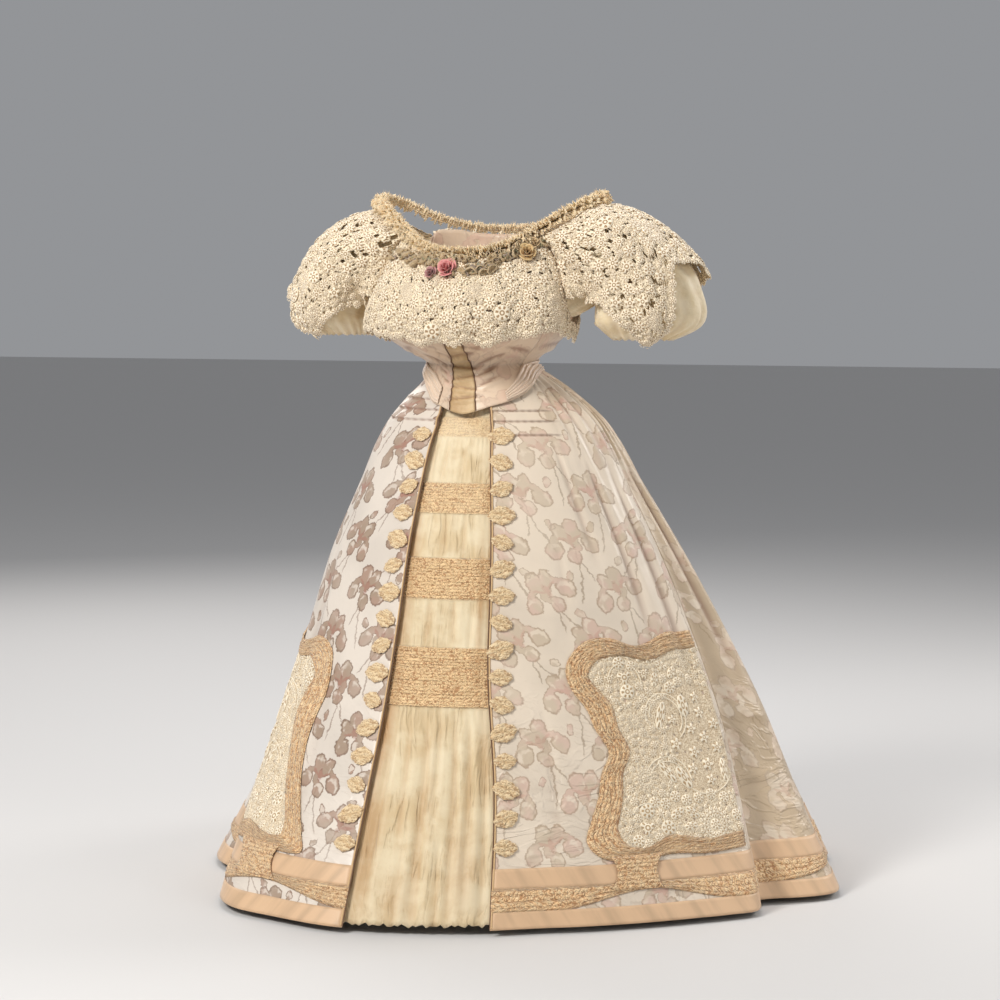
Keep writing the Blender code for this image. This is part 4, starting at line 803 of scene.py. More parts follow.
# Brown patches on the underskirt. Those along the opening's edges, near columns -9 and 14, are painted shadow where the
# overskirt's edges stand over the panel; those lower in the middle are stains; the last is a faint band across the top.
DarkPatch = namedtuple("DarkPatch", "column drop half_width half_height strength")
PANEL_STAINS_AND_SHADOWS = table(DarkPatch, (-9.2, 0.38, 1.9, 0.22, 1), (-9, 0.68, 2, 0.22, 1), (-7.6, 0.88, 2, 0.14, 0.6),
    (11.6, 0.48, 0.9, 0.16, 0.8), (13.8, 0.3, 0.8, 0.3, 0.7), (12.6, 0.7, 1.2, 0.1, 0.4), (9, 0.92, 2.2, 0.07, 0.6),
    (-2, 0.96, 2.4, 0.04, 0.4), (2, 0.78, 1.6, 0.09, 0.25), (0, 0.08, 14, 0.04, 0.25))
bands = np.max([full * ease((drop - top + 0.003) / 0.003) * ease((bottom + 0.003 - drop) / 0.003)
                for (top, bottom), full in zip(SHIRRED_BANDS, (0.4, 0.85, 1.0, 1.0))], axis=0)
stains_and_shade = np.max([dark_patch.strength * np.exp(-((column - dark_patch.column) / dark_patch.half_width) ** 2
                                         - ((drop - dark_patch.drop) / dark_patch.half_height) ** 2)
                 for dark_patch in PANEL_STAINS_AND_SHADOWS], axis=0)
# Painted shade also darkens the hollows of the panel's creases outside the shirred bands.
stains_and_shade = np.maximum(stains_and_shade, 0.38 * (1 - bands) * ease(-panel_relief(column, drop) / 0.006))
sew("underskirt_chiffon", panel, CHIFFON, panel_silk(), "gold_chiffon", "gathered", ["waistband_brocade"],
    ["underskirt_panel"], fullness=1.25, mark=bands, tone=stains_and_shade)

# Hem trims: two flat bands of peach satin go round each half of the overskirt, with ruched chiffon between
# them whose lower edge is cut in half moons, so that the brocade shows.
SATIN = 0.001
TRIM_LIFT = 0.0004
UPPER_BAND = (0.916, 0.951)
LOWER_BAND = (0.988, HEM)
ARCHES = (-162, -116, -70, -25, 42, 88, 134, 172)
HALVES = {"right": (-180 + SEAM, RIGHT_EDGE - SEAM), "left": (LEFT_EDGE + SEAM, 180 - SEAM)}


def satin(name, colour, roughness, pleats=(60.0, 9.0, 1.0), strength=0.25):
    """Plain silk satin in one colour, lightly marked by its pleats or folds, with painted shade along their lines."""
    material, cloth = new_material(name, roughness, sheen=0.2)
    lines = noise(scaled(cloth, *pleats), 1.0, 4.0)
    return finish_cloth(material, lines.rise(0.4, 0.68).blend(colour, dimmed(colour, 0.8)), lines, strength, 0.004)


hem_satin = satin("hem_satin", srgb(219, 183, 145), 0.48, pleats=(30.0, 5.0, 1.0), strength=0.2)
ruching = ruched_chiffon("ruching", Tints(srgb(255, 222, 174), srgb(244, 202, 150), srgb(164, 106, 62)), 0.0078)
for side, (start, end) in HALVES.items():
    columns = steps(start, end, 1.0)
    for name, (top, bottom) in (("upper", UPPER_BAND), ("lower", LOWER_BAND)):
        outer = on_skirt(*grid_of(columns, steps(top, bottom, 0.006)), TRIM_LIFT + SATIN)
        sew(f"hem_satin_{name}_{side}", outer, SATIN, hem_satin, "hem_satin", "laid", front_to_back("skirt", side),
            [f"hem_band_{name}_{side}"])
    column, share = grid_of(steps(start, end, 0.5), steps(0.0, 1.0, 0.12))
    arch = np.max([ease(1 - np.abs(column - centre) / 17) for centre in ARCHES], axis=0)
    top, bottom = UPPER_BAND[1] - 0.001, LOWER_BAND[0] + 0.001 - 0.027 * arch
    drop = top + (bottom - top) * share
    puffed = shirred(column * 1.3, drop, (drop - top) / 0.0075) * ease(share / 0.1) * ease((1 - share) / 0.1)
    outer = on_skirt(column, drop, 0.0014 + puffed)
    sew(f"hem_ruching_{side}", outer, 0.0009, ruching, "ruched_chiffon", "gathered", front_to_back("skirt", side),
        [f"hem_ruche_{side}"], fullness=1.35)

# Lace panels: cotton lace on each side above the hem, from the front gore to its side seam. A border of
# ruched chiffon about 40 mm wide frames each, sewn down in wavy rows.
LACE = 0.0008
Border = namedtuple("Border", "outer_column outer_drop inner_column inner_drop")
LEFT_BORDER = table(Border, (61.5, 0.516, 61.5, 0.545), (55, 0.514, 55, 0.546), (50, 0.528, 49, 0.56),
    (46, 0.533, 43.5, 0.549), (41, 0.517, 40, 0.549), (36, 0.518, 37, 0.553), (32, 0.54, 34.5, 0.575),
    (30, 0.57, 34.5, 0.59), (30.5, 0.605, 36, 0.612), (33, 0.645, 38, 0.64), (34, 0.68, 38.5, 0.68),
    (36, 0.722, 40, 0.722), (34, 0.76, 38, 0.762), (33, 0.8, 37.5, 0.8), (31.5, 0.838, 36.5, 0.836),
    (30.5, 0.878, 36, 0.862), (34, 0.908, 38, 0.888), (41, 0.913, 42, 0.893), (47, 0.907, 47, 0.877),
    (54, 0.912, 54, 0.888), (61.5, 0.908, 61.5, 0.883))
RIGHT_BORDER = table(Border, (-50, 0.52, -50, 0.55), (-43, 0.516, -43, 0.547), (-37, 0.538, -37, 0.566),
    (-31.5, 0.55, -31.5, 0.578), (-26, 0.534, -27.5, 0.572), (-22, 0.552, -25, 0.59), (-21, 0.592, -24.5, 0.61),
    (-21, 0.636, -25.5, 0.64), (-22, 0.68, -26.5, 0.68), (-22.5, 0.724, -26, 0.724), (-22, 0.782, -25, 0.782),
    (-20.8, 0.83, -24, 0.826), (-19.3, 0.876, -23, 0.862), (-19, 0.91, -23.5, 0.888), (-27, 0.912, -27, 0.89),
    (-32, 0.908, -31.5, 0.878), (-38, 0.912, -37, 0.886), (-44, 0.907, -44, 0.876), (-50, 0.912, -50, 0.884))


def needle_flower(local, rays):
    """Where thread lies in a worked flower: its centre, an inner ring, rays and a rim at 1."""
    x, y, _ = local.parts()
    radius, angle = local.length(), y.maths("ARCTAN2", x)
    thread = (angle * rays).maths("COSINE").rise(-0.5, 0.2) * radius.rise(0.42, 0.48)
    ring = radius.rise(0.3, 0.35) * radius.rise(0.5, 0.45)
    return thread | ring | radius.rise(0.8, 0.86) | radius.rise(0.2, 0.14), radius


def lace_cloth(name, ground, shade, across):
    """Cotton lace: flowers of thread about this far across on a fine net, with painted shade, a dark tan, in the
    hollows.

    Where the cloth's mark is 1 the net is plain.
    """
    material, cloth = new_material(name, 0.85, sheen=0.15)
    net = cloth.node("ShaderNodeTexVoronoi", {"Vector": cloth, "Scale": 330.0}, "Distance", feature="DISTANCE_TO_EDGE")
    cells = scaled(cloth, 1 / across, 1 / across, 1.0)
    flowers = add_node(cloth.tree, "ShaderNodeTexVoronoi", {"Vector": cells, "Scale": 1.0, "Randomness": 0.6},
                       voronoi_dimensions="2D")
    local = cloth.node("ShaderNodeVectorMath", {0: cells - flowers.outputs["Position"], "Scale": 2.1},
                       operation="SCALE")
    chance = Value(flowers.outputs["Color"]).parts()[0]
    worked, radius = needle_flower(local, (chance * 4.0).maths("FLOOR") + 5.0)
    plain = radius.rise(1.0, 1.06) | drawn(cloth, "mark")
    thread = plain.mix(worked, net.rise(0.18, 0.08))
    return finish_cloth(material, thread.blend(shade, ground), thread, 0.6, 0.0016)


net_ground = lace_cloth("net_ground", srgb(240, 224, 196), srgb(190, 162, 124), 0.016)


def scattering():
    """A Geometry Nodes tree that sets a motif on every point, turned and sized by the point's own values."""
    tree = bpy.data.node_groups.new("motifs_on_points", "GeometryNodeTree")
    for name, kind in (("Points", "Geometry"), ("Motif", "Object"), ("Cloth", "Material")):
        tree.interface.new_socket(name, in_out="INPUT", socket_type=f"NodeSocket{kind}")
    tree.interface.new_socket("Motifs", in_out="OUTPUT", socket_type="NodeSocketGeometry")
    start, end = tree.nodes.new("NodeGroupInput"), tree.nodes.new("NodeGroupOutput")
    motif = add_node(tree, "GeometryNodeObjectInfo")
    tree.links.new(start.outputs["Motif"], motif.inputs["Object"])
    values = {name: add_node(tree, "GeometryNodeInputNamedAttribute", {"Name": name}, data_type="FLOAT_VECTOR")
              for name in ("turn", "size")}
    placed = add_node(tree, "GeometryNodeInstanceOnPoints", {
        "Points": start.outputs["Points"], "Instance": motif.outputs["Geometry"],
        "Rotation": values["turn"].outputs["Attribute"], "Scale": values["size"].outputs["Attribute"]})
    real = add_node(tree, "GeometryNodeRealizeInstances", {"Geometry": placed.outputs["Instances"]})
    cloth = add_node(tree, "GeometryNodeSetMaterial", {"Geometry": real.outputs["Geometry"]})
    tree.links.new(start.outputs["Cloth"], cloth.inputs["Material"])
    tree.links.new(cloth.outputs["Geometry"], end.inputs["Motifs"])
    return tree


motifs_on_points = scattering()
Placed = namedtuple("Placed", "motif points normals headings sizes")


def facing(normal, heading):
    """The turn that stands a motif's +Z along the normal and its +Y as near the heading as it can."""
    normal = Vector(normal).normalized()
    side = Vector(heading).cross(normal).normalized()
    return Matrix((side, normal.cross(side), normal)).transposed().to_euler()


def join_pieces(name, pieces):
    """One object of several."""
    if len(pieces) > 1:
        with bpy.context.temp_override(active_object=pieces[0], object=pieces[0], selected_objects=pieces,
                                       selected_editable_objects=pieces):
            bpy.ops.object.join()
    pieces[0].name = pieces[0].data.name = name
    return pieces[0]


def scatter(name, sets, material):
    """One mesh piece of all the motifs that these sets place."""
    pieces = []
    for number, placed in enumerate(sets):
        mesh = bpy.data.meshes.new(f"{name}_points_{number}")
        mesh.from_pydata(np.asarray(placed.points).tolist(), [], [])
        turns = [tuple(facing(n, h)) for n, h in zip(placed.normals, placed.headings)]
        for key, values in (("turn", np.array(turns)), ("size", np.asarray(placed.sizes, float))):
            mesh.attributes.new(key, "FLOAT_VECTOR", "POINT").data.foreach_set("vector", values.ravel())
        holder = in_scene(mesh.name, mesh)
        modifier = holder.modifiers.new("motifs", "NODES")
        modifier.node_group = motifs_on_points
        sockets = {item.name: item.identifier for item in motifs_on_points.interface.items_tree
                   if item.in_out == "INPUT"}
        modifier[sockets["Motif"]], modifier[sockets["Cloth"]] = placed.motif, material
        bpy.context.view_layer.update()
        ready = bpy.data.meshes.new_from_object(holder.evaluated_get(bpy.context.evaluated_depsgraph_get()))
        bpy.data.objects.remove(holder)
        ready.materials.clear()
        ready.materials.append(material)
        ready.shade_smooth()
        pieces.append(in_scene(f"{name}_{number}", ready))
    return join_pieces(name, pieces)


def round_motif(name, outline, rings, spokes, rays=8, sink=0.12, size=1.0):
    """A flat-backed motif of size 1. Each ring has a share of the outline's radius and a height.

    Its UV map is its own plan at the given size, and its tone is a twentieth of its number of rays.
    """
    angles = np.arange(spokes) * 2 * np.pi / spokes
    reach = np.array([outline(a) for a in angles])
    vertices, faces = [(0.0, 0.0, rings[0][1])], []
    for share, height in (*rings[1:], (rings[-1][0], -sink)):
        heights = height(angles) if callable(height) else np.full(spokes, height)
        vertices += [(r * share * math.cos(a), r * share * math.sin(a), h) for a, r, h in zip(angles, reach, heights)]
    for k in range(spokes):
        after = (k + 1) % spokes
        faces.append((0, 1 + k, 1 + after))
        for ring in range(len(rings) - 1):
            a, b = 1 + ring * spokes + k, 1 + ring * spokes + after
            faces.append((a, a + spokes, b + spokes, b))
    faces.append(tuple(1 + (len(rings) - 1) * spokes + k for k in range(spokes))[::-1])
    mesh = bpy.data.meshes.new(name)
    mesh.from_pydata(vertices, [], faces)
    layer = mesh.uv_layers.new(name="cloth")
    for loop in mesh.loops:
        x, y, _ = vertices[loop.vertex_index]
        layer.data[loop.index].uv = (size * x, size * y)
    mesh.attributes.new("tone", "FLOAT", "POINT").data.foreach_set("value", np.full(len(vertices), rays / 20))
    return in_scene(name, mesh)


def tube(name, points, radius, material, sides=6):
    """A cord along a line of points, with closed ends."""
    points = np.asarray(points)
    ahead = unit(np.gradient(points, axis=0))
    beside = unit(np.cross(ahead, (0.31, 0.17, 0.94)))
    above = np.cross(beside, ahead)
    a = np.arange(sides) * 2 * np.pi / sides
    rings = points[:, None] + radius * (np.cos(a)[:, None] * beside[:, None] + np.sin(a)[:, None] * above[:, None])
    count = len(points)
    i, j = np.meshgrid(np.arange(count - 1), np.arange(sides), indexing="ij")
    first, after = i * sides + j, i * sides + (j + 1) % sides
    faces = np.stack([first, after, after + sides, first + sides], -1).reshape(-1, 4)
    mesh = bpy.data.meshes.new(name)
    ends = [tuple(range(sides))[::-1], tuple((count - 1) * sides + k for k in range(sides))]
    mesh.from_pydata(rings.reshape(-1, 3).tolist(), [], [tuple(face) for face in faces[:, ::-1].tolist()] + ends)
    mesh.materials.append(material)
    mesh.shade_smooth()
    return in_scene(name, mesh)


def thread_material(name, thread, hollow):
    """Needle lace worked in thick thread, with painted shade in the hollows between the threads."""
    material, own = new_material(name, 0.85, sheen=0.2)
    worked, _ = needle_flower(own, drawn(own, "tone") * 20.0)
    place = own.node("ShaderNodeTexCoord", {}, "Object")
    bright = noise(place, 45.0, 3.0).rise(0.4, 0.62).blend(thread, dimmed(thread, 0.86))
    return finish_cloth(material, worked.blend(hollow, bright), worked, 0.6, 0.0012)


panel_thread = thread_material("panel_thread", srgb(254, 242, 218), srgb(186, 156, 116))
guipure_thread = thread_material("guipure_thread", srgb(254, 240, 214), srgb(170, 138, 100))
FLAT_RINGS = [(0, 0.15), (0.62, 0.17), (1.0, 0.03)]
LACE_MOTIFS = {
    "star": round_motif("lace_star", lambda a: 0.8 + 0.2 * math.cos(5 * a), FLAT_RINGS, 15, rays=5),
    "bloom": round_motif("lace_bloom", lambda a: 0.9 + 0.1 * math.cos(8 * a), FLAT_RINGS, 16),
    "disc": round_motif("lace_disc", lambda a: 1.0, FLAT_RINGS, 11, rays=7),
    "leaf": round_motif("lace_leaf", lambda a: 1.0, FLAT_RINGS, 9, rays=6),
    "trefoil": round_motif("lace_trefoil", lambda a: 0.72 + 0.28 * math.sin(3 * a), FLAT_RINGS, 15, rays=9),
    "bead": round_motif("lace_bead", lambda a: 1.0, [(0, 0.8), (1.0, 0.0)], 5, rays=0),
}
Spot = namedtuple("Spot", "motif row column width length turn")  # sizes in metres, the turn in degrees


def between_points(grid, row, column):
    """Values of a grid between its points."""
    row, column = np.asarray(row, float), np.asarray(column, float)
    i = np.clip(row.astype(int), 0, grid.shape[0] - 2)
    j = np.clip(column.astype(int), 0, grid.shape[1] - 2)
    s, t = (row - i)[..., None], (column - j)[..., None]
    return ((grid[i, j] * (1 - t) + grid[i, j + 1] * t) * (1 - s)
            + (grid[i + 1, j] * (1 - t) + grid[i + 1, j + 1] * t) * s)


def daisy(grid, row, column, radius, petals=16):
    """A daisy of lace: a ring of petals round a disc, with a picot at each tip."""
    per_row = np.linalg.norm(between_points(np.gradient(grid, axis=0), row, column))
    per_column = np.linalg.norm(between_points(np.gradient(grid, axis=1), row, column))
    spots = [Spot("disc", row, column, radius * 0.3, radius * 0.3, 0)]
    for k in range(petals):
        a = 2 * math.pi * (k + 0.5) / petals
        for motif, reach, width, length in (("leaf", 0.66, 0.135, 0.32), ("bead", 1.02, 0.055, 0.055)):
            spots.append(Spot(motif, row - reach * radius * math.cos(a) / per_row,
                              column + reach * radius * math.sin(a) / per_column,
                              radius * width, radius * length, math.degrees(a)))
    return spots


def lay_motifs(name, grid, spots, material):
    """One piece of lace motifs laid on a grid of cloth."""
    down, across = np.gradient(grid, axis=0), np.gradient(grid, axis=1)
    outward = np.cross(down, across)
    sets = []
    for motif, shape in LACE_MOTIFS.items():
        mine = [spot for spot in spots if spot.motif == motif]
        if not mine:
            continue
        row, column, width, length, turn = (np.array([getattr(spot, key) for spot in mine], float)
                                            for key in Spot._fields[1:])
        row, column = np.clip(row, -0.6, len(grid) - 0.4), np.clip(column, -0.6, grid.shape[1] - 0.4)
        points = between_points(grid, row, column)
        normals = unit(between_points(outward, row, column))
        turn = np.radians(turn)[:, None]
        headings = (unit(between_points(across, row, column)) * np.sin(turn)
                    - unit(between_points(down, row, column)) * np.cos(turn))
        height = np.minimum((width + length) / 2, 0.007)
        sizes = np.stack([width, length, height], axis=1)
        sets.append(Placed(shape, points + normals * 0.1 * height[:, None], normals, headings, sizes))
    return scatter(name, sets, material)


def clear_of(points, spots, grid):
    """How far each of these points is from the nearest motif's edge."""
    clear = np.full(points.shape[:-1], 1.0)
    for spot in spots:
        centre = between_points(grid, spot.row, spot.column)
        clear = np.minimum(clear, np.linalg.norm(points - centre, axis=-1) - (spot.width + spot.length) / 2)
    return clear


def packed(grid, spots, sizes, tries=2600):
    """More motifs in the room that is left, the largest first, at the places of an even sequence."""
    order = np.arange(tries)
    row = (0.5 + order * 0.7548777) % 1 * (grid.shape[0] - 1)
    column = (0.5 + order * 0.5698403) % 1 * (grid.shape[1] - 1)
    places = between_points(grid, row, column)
    clear = clear_of(places, spots, grid)
    added = []
    for size, motifs in sizes:
        for k in order:
            if clear[k] > size * 0.92:
                motif = motifs[len(added) % len(motifs)]
                long = 1.35 if motif == "leaf" else 1.0
                added.append(Spot(motif, row[k], column[k], size * (0.62 if motif == "leaf" else 1.0), size * long,
                                  137.5 * k % 360))
                clear = np.minimum(clear, np.linalg.norm(places - places[k], axis=1) - size)
    return spots + added


def inside_outline(column, drop, outline):
    """Which places lie inside a closed outline of (column, drop) points."""
    inside = np.zeros(column.shape, bool)
    for (c0, d0), (c1, d1) in zip(outline, np.roll(outline, -1, axis=0)):
        crosses = (d0 > drop) != (d1 > drop)
        slope = (c1 - c0) / (d1 - d0) if d1 != d0 else 0.0
        inside ^= crosses & (column < c0 + (drop - d0) * slope)
    return inside


def punched(flat, pitch, radius, seed):
    """Which cells of a lace ground lie in its round holes, which stand in uneven staggered rows."""
    cells = (flat[:-1, :-1] + flat[1:, 1:]) / 2
    row = np.round(cells[..., 1] / pitch)
    along = cells[..., 0] / pitch + 0.5 * (row % 2) + 0.2 * np.sin(row * 2.3 + seed)
    beside = (along - np.round(along)) * pitch
    above = cells[..., 1] - row * pitch
    size = radius * (0.75 + 0.35 * np.sin(np.round(along) * 1.9 + row * 2.7 + seed))
    return np.hypot(beside, above) < size


PanelMotif = namedtuple("PanelMotif", "kind column drop width length turn")  # half sizes in millimetres


def panel_row(kind, *places):
    return [PanelMotif(kind, column, drop, size, size, 0) for column, drop, size in places]


PANEL_MOTIFS = [
    *panel_row("daisy", (57.7, 0.56, 25), (42.8, 0.773, 26), (56.0, 0.865, 38), (42.4, 0.67, 18)),
    *panel_row("star", (57.5, 0.637, 12), (57.5, 0.666, 13), (54.5, 0.693, 12), (60.1, 0.689, 12), (57.1, 0.711, 13),
               (50.5, 0.717, 13), (54.1, 0.735, 13), (59.5, 0.732, 12), (56.6, 0.759, 14), (56.7, 0.787, 12),
               (50.7, 0.673, 10), (53.1, 0.764, 12)),
    *panel_row("disc", (41.7, 0.563, 12), (44.4, 0.57, 10), (42.3, 0.616, 15), (54.4, 0.606, 10), (52.1, 0.615, 12),
               (57.5, 0.603, 10), (42.4, 0.83, 15), (46.4, 0.862, 15), (40.3, 0.88, 12), (42.3, 0.886, 9),
               (44.5, 0.877, 9), (60.8, 0.853, 12)),
    *panel_row("disc", *((column, 0.815 + 0.006 * math.sin(column), 11)
                         for column in (44.1, 46.2, 48.4, 50.7, 53.3, 56.0, 58.7, 61.0))),
    *panel_row("trefoil", (42.3, 0.59, 16), (42.2, 0.859, 17), (39.0, 0.59, 11), (46.9, 0.585, 12)),
    *table(PanelMotif, ("leaf", 51.5, 0.573, 8, 15, -60), ("leaf", 53.5, 0.588, 8, 14, 40),
           ("leaf", 49.0, 0.598, 8, 15, 20), ("leaf", 47.0, 0.619, 6, 11, -30), ("leaf", 48.5, 0.839, 9, 17, 60),
           ("leaf", 51.6, 0.84, 9, 17, -50), ("leaf", 51.0, 0.863, 8, 15, 80), ("leaf", 54.0, 0.65, 12, 23, 0),
           ("leaf", 48.4, 0.664, 9, 30, 25), ("leaf", 47.5, 0.764, 9, 28, -35), ("leaf", 50.9, 0.778, 11, 26, -30),
           ("leaf", 59.9, 0.773, 8, 25, 0)),
]
Cordon = namedtuple("Cordon", "column drop radius start end")  # an arc of cord; degrees round from straight up
PANEL_CORDONS = table(Cordon, (49.5, 0.668, 44, -95, 150), (49.5, 0.668, 36, -85, 140), (47.5, 0.79, 52, -60, 80),
    (47.5, 0.79, 44, -55, 75), (42.3, 0.598, 34, -70, 120), (42.4, 0.85, 34, -60, 110), (56, 0.745, 66, 130, 215))
PANEL_SIZES = ((0.0085, ("bloom", "leaf", "disc")), (0.006, ("leaf", "disc", "bloom")), (0.004, ("leaf", "bead")))
RIGHT_PANEL_SHIFT = -16.5  # degrees from the left panel's places, mirrored, to the right one's
JOIN_TOP, JOIN_END = 0.903, 0.962  # the drops of the ruched patch below each panel


def own_column(column, way):
    """Where a place that is named on the left panel lies on the panel of this side, and the way back."""
    return column if way > 0 else -(column + RIGHT_PANEL_SHIFT)

for (side, way), rows in zip(SIDES, (LEFT_BORDER, RIGHT_BORDER)):
    places = np.arange(len(rows))
    fine = steps(0, len(rows) - 1, 0.085)
    outer_column, outer_drop, inner_column, inner_drop = (smooth_curve(places, row)(fine) for row in zip(*rows))
    across = steps(0.0, 1.0, 0.075)[:, None]
    column = outer_column + (inner_column - outer_column) * across * 1.08
    drop = outer_drop + (inner_drop - outer_drop) * across * 1.08
    waves = across * 4.6 + 0.3 * np.sin(fine * 5.2)
    puffed = shirred(0.0 * fine, drop, waves) * ease(across / 0.12) * ease((1 - across) / 0.12)
    outer = on_skirt(column, drop, 0.0026 + 1.3 * puffed)
    outer = outer[:, ::-1] if side == "left" else outer
    sew(f"lace_border_{side}", outer, 0.0012, ruching, "ruched_chiffon", "gathered", [f"cloth_skirt_front_{side}"],
        [f"lace_panel_border_{side}"], fullness=1.15)

    low, high = (36.0, 43.5) if side == "left" else (-31.0, -24.0)
    column, share = grid_of(steps(low, high, 0.4), steps(0.0, 1.0, 0.08))
    middle_column = (low + high) / 2
    column = middle_column + (column - middle_column) * (1.0 + 0.35 * np.abs(2 * share - 1) ** 2)
    drop = JOIN_TOP + (JOIN_END - JOIN_TOP) * share
    puffed = shirred(column * 2.3, drop, (drop - JOIN_TOP) / 0.0078) * ease(share / 0.1) * ease((1 - share) / 0.1)
    joining = on_skirt(column, drop, 0.004 + 1.2 * puffed)
    sew(f"ruching_join_{side}", joining, 0.0009, ruching, "ruched_chiffon", "gathered", [f"hem_satin_upper_{side}"],
        fullness=1.25)

    outline = np.stack([inner_column, inner_drop], axis=1)
    column, drop = grid_of(steps(inner_column.min(), inner_column.max(), 0.34),
                           steps(inner_drop.min(), inner_drop.max(), 0.0036))
    outer = on_skirt(column, drop, 0.0004 + LACE)
    middles = (column[:-1, :-1] + column[1:, 1:]) / 2, (drop[:-1, :-1] + drop[1:, 1:]) / 2
    outline_kept = inside_outline(*middles, outline)
    kept = outline_kept & ~punched(flat_places(outer), 0.0185, 0.0022, len(rows))
    open_field = (own_column(column, way) > 49.5) & (drop > 0.615) & (drop < 0.805)
    sew(f"lace_net_{side}", outer, LACE, net_ground, "cotton_lace", "laid", [f"cloth_skirt_front_{side}"],
        [f"lace_panel_{side}"], kept=kept, mark=open_field.astype(float))

    first_column, first_drop = column[0, 0], drop[0, 0]
    per_column, per_row = column[0, 1] - first_column, drop[1, 0] - first_drop
    spots = []
    for motif in PANEL_MOTIFS:
        j = (own_column(motif.column, way) - first_column) / per_column
        i = (motif.drop - first_drop) / per_row
        if not 2 < j < column.shape[1] - 3:
            continue
        if motif.kind == "daisy":
            spots += daisy(outer, i, j, motif.width / 1000, petals=14 + 4 * (motif.width > 30))
        else:
            spots.append(Spot(motif.kind, i, j, motif.width / 1000, motif.length / 1000, way * motif.turn))
    lengths, middle = distances_along(outline * (0.0105, 1)), outline.mean(axis=0)
    for inset, pitch, size in ((0.93, 0.0052, 0.0017), (0.905, 0.0115, 0.0044)):
        for at in np.arange(0.004, lengths[-1], pitch):
            c, d = middle + ([np.interp(at, lengths, outline[:, k]) for k in (0, 1)] - middle) * inset
            spots.append(Spot("bead" if size < 0.003 else "disc", (d - first_drop) / per_row,
                              (c - first_column) / per_column, size, size, 0))
    placed = len(spots)
    spots = packed(outer, spots, PANEL_SIZES, tries=1800)
    cells = [(min(int(spot.row), kept.shape[0] - 1), min(int(spot.column), kept.shape[1] - 1)) for spot in spots]
    spots = [spot for number, (spot, (i, j)) in enumerate(zip(spots, cells))
             if number < placed or (outline_kept[i, j] and not open_field[i, j])]
    dress(lay_motifs(f"lace_flowers_{side}", outer, spots, panel_thread), "cotton_lace")
    cords = []
    for cordon in PANEL_CORDONS:
        a = np.radians(np.linspace(cordon.start, cordon.end, 40)) * way
        named = own_column(cordon.column, way)
        metres_wide = degree_width(named, cordon.drop)
        c = named + cordon.radius / 1000 * np.sin(a) / metres_wide
        d = cordon.drop - cordon.radius / 1000 * np.cos(a)
        j, i = (c - first_column) / per_column, (d - first_drop) / per_row
        points = between_points(outer, np.clip(i, 2, len(outer) - 3), np.clip(j, 2, outer.shape[1] - 3))
        points = points + unit(np.array([0.4 * way, -0.9, 0.2])) * 0.001
        cords.append(tube("cordon", points, 0.0011, panel_thread, sides=5))
    dress(join_pieces(f"lace_cordons_{side}", cords), "cotton_lace")

# Rosettes: sixteen rounds of ruched chiffon down each edge of the opening, each a strip drawn up on a thread.
# Two fine brown cords finish the edge beside them.
ROSETTE_SIZE = 0.0208
ROSETTE_TOP, ROSETTE_PITCH, ROSETTE_COUNT = 0.112, 0.0496, 16
Rosettes = namedtuple("Rosettes", "side edge way from_edge")
ROSETTE_RUNS = [Rosettes("right", RIGHT_EDGE, -1, 0.026), Rosettes("left", LEFT_EDGE, 1, 0.022)]


def rosette_waves(base, share):
    """Uneven crumpled gathers for one ring of a rosette."""
    return lambda a: base + share * (0.05 * np.sin(a * 7 + 9 * share) + 0.05 * np.sin(a * 4 + 5 * share)
                                     + 0.05 * np.sin(a * 13 + 3 * share))


rosette = round_motif("rosette", lambda a: (1 + 0.04 * math.sin(9 * a) + 0.05 * math.sin(4 * a + 1)
                                            + 0.03 * math.sin(17 * a)),
                      [(0, 0.08), (0.16, rosette_waves(0.14, 0.7)), (0.34, rosette_waves(0.13, 1.0)),
                       (0.55, rosette_waves(0.16, 1.2)), (0.78, rosette_waves(0.14, 1.4)),
                       (0.94, rosette_waves(0.07, 0.7)), (1.0, rosette_waves(0.0, 0.3))],
                      44, sink=0.02, size=ROSETTE_SIZE)
rosette_chiffon = ruched_chiffon("rosette_chiffon", Tints(srgb(242, 220, 180), srgb(228, 200, 156), srgb(168, 126, 84)),
                                 0.011, strength=0.45)
cord_brown = satin("cord_brown", srgb(112, 78, 50), 0.6)
cord_gold = satin("cord_gold", srgb(214, 178, 130), 0.6)


for run in ROSETTE_RUNS:
    drops = ROSETTE_TOP + ROSETTE_PITCH * (np.arange(ROSETTE_COUNT) + 0.5)
    columns = run.edge + run.way * run.from_edge / degree_width(run.edge, drops)
    points, (_, normals) = on_skirt(columns, drops, 0.003), skirt_frame(columns, drops)
    spins = 0.35 * np.sin(np.arange(ROSETTE_COUNT) * 2.1) + np.pi * (np.arange(ROSETTE_COUNT) % 2)
    headings = np.stack([np.sin(spins), np.zeros(ROSETTE_COUNT), np.cos(spins)], axis=1)
    sizes = ROSETTE_SIZE * (0.94 + 0.1 * np.sin(np.arange(ROSETTE_COUNT) * 2.4 + run.way))
    sizes = sizes[:, None] * np.array([1.2, 0.86, 0.9])
    placed = Placed(rosette, points, normals, headings, sizes)
    dress(scatter(f"rosette_row_{run.side}", [placed], rosette_chiffon), "ruched_chiffon", f"rosettes_{run.side}")
    for number, (apart, radius, silk) in enumerate(((-0.0002, 0.0012, cord_brown), (0.003, 0.0019, cord_gold))):
        drops = steps(0.06, HEM - 0.002, 0.012)
        columns = run.edge + run.way * apart / degree_width(run.edge, drops)
        line = on_skirt(columns, drops, 0.0008)
        dress(tube(f"edge_cord_{number}_{run.side}", line, radius, silk), "ruched_chiffon")
bpy.data.objects.remove(rosette)

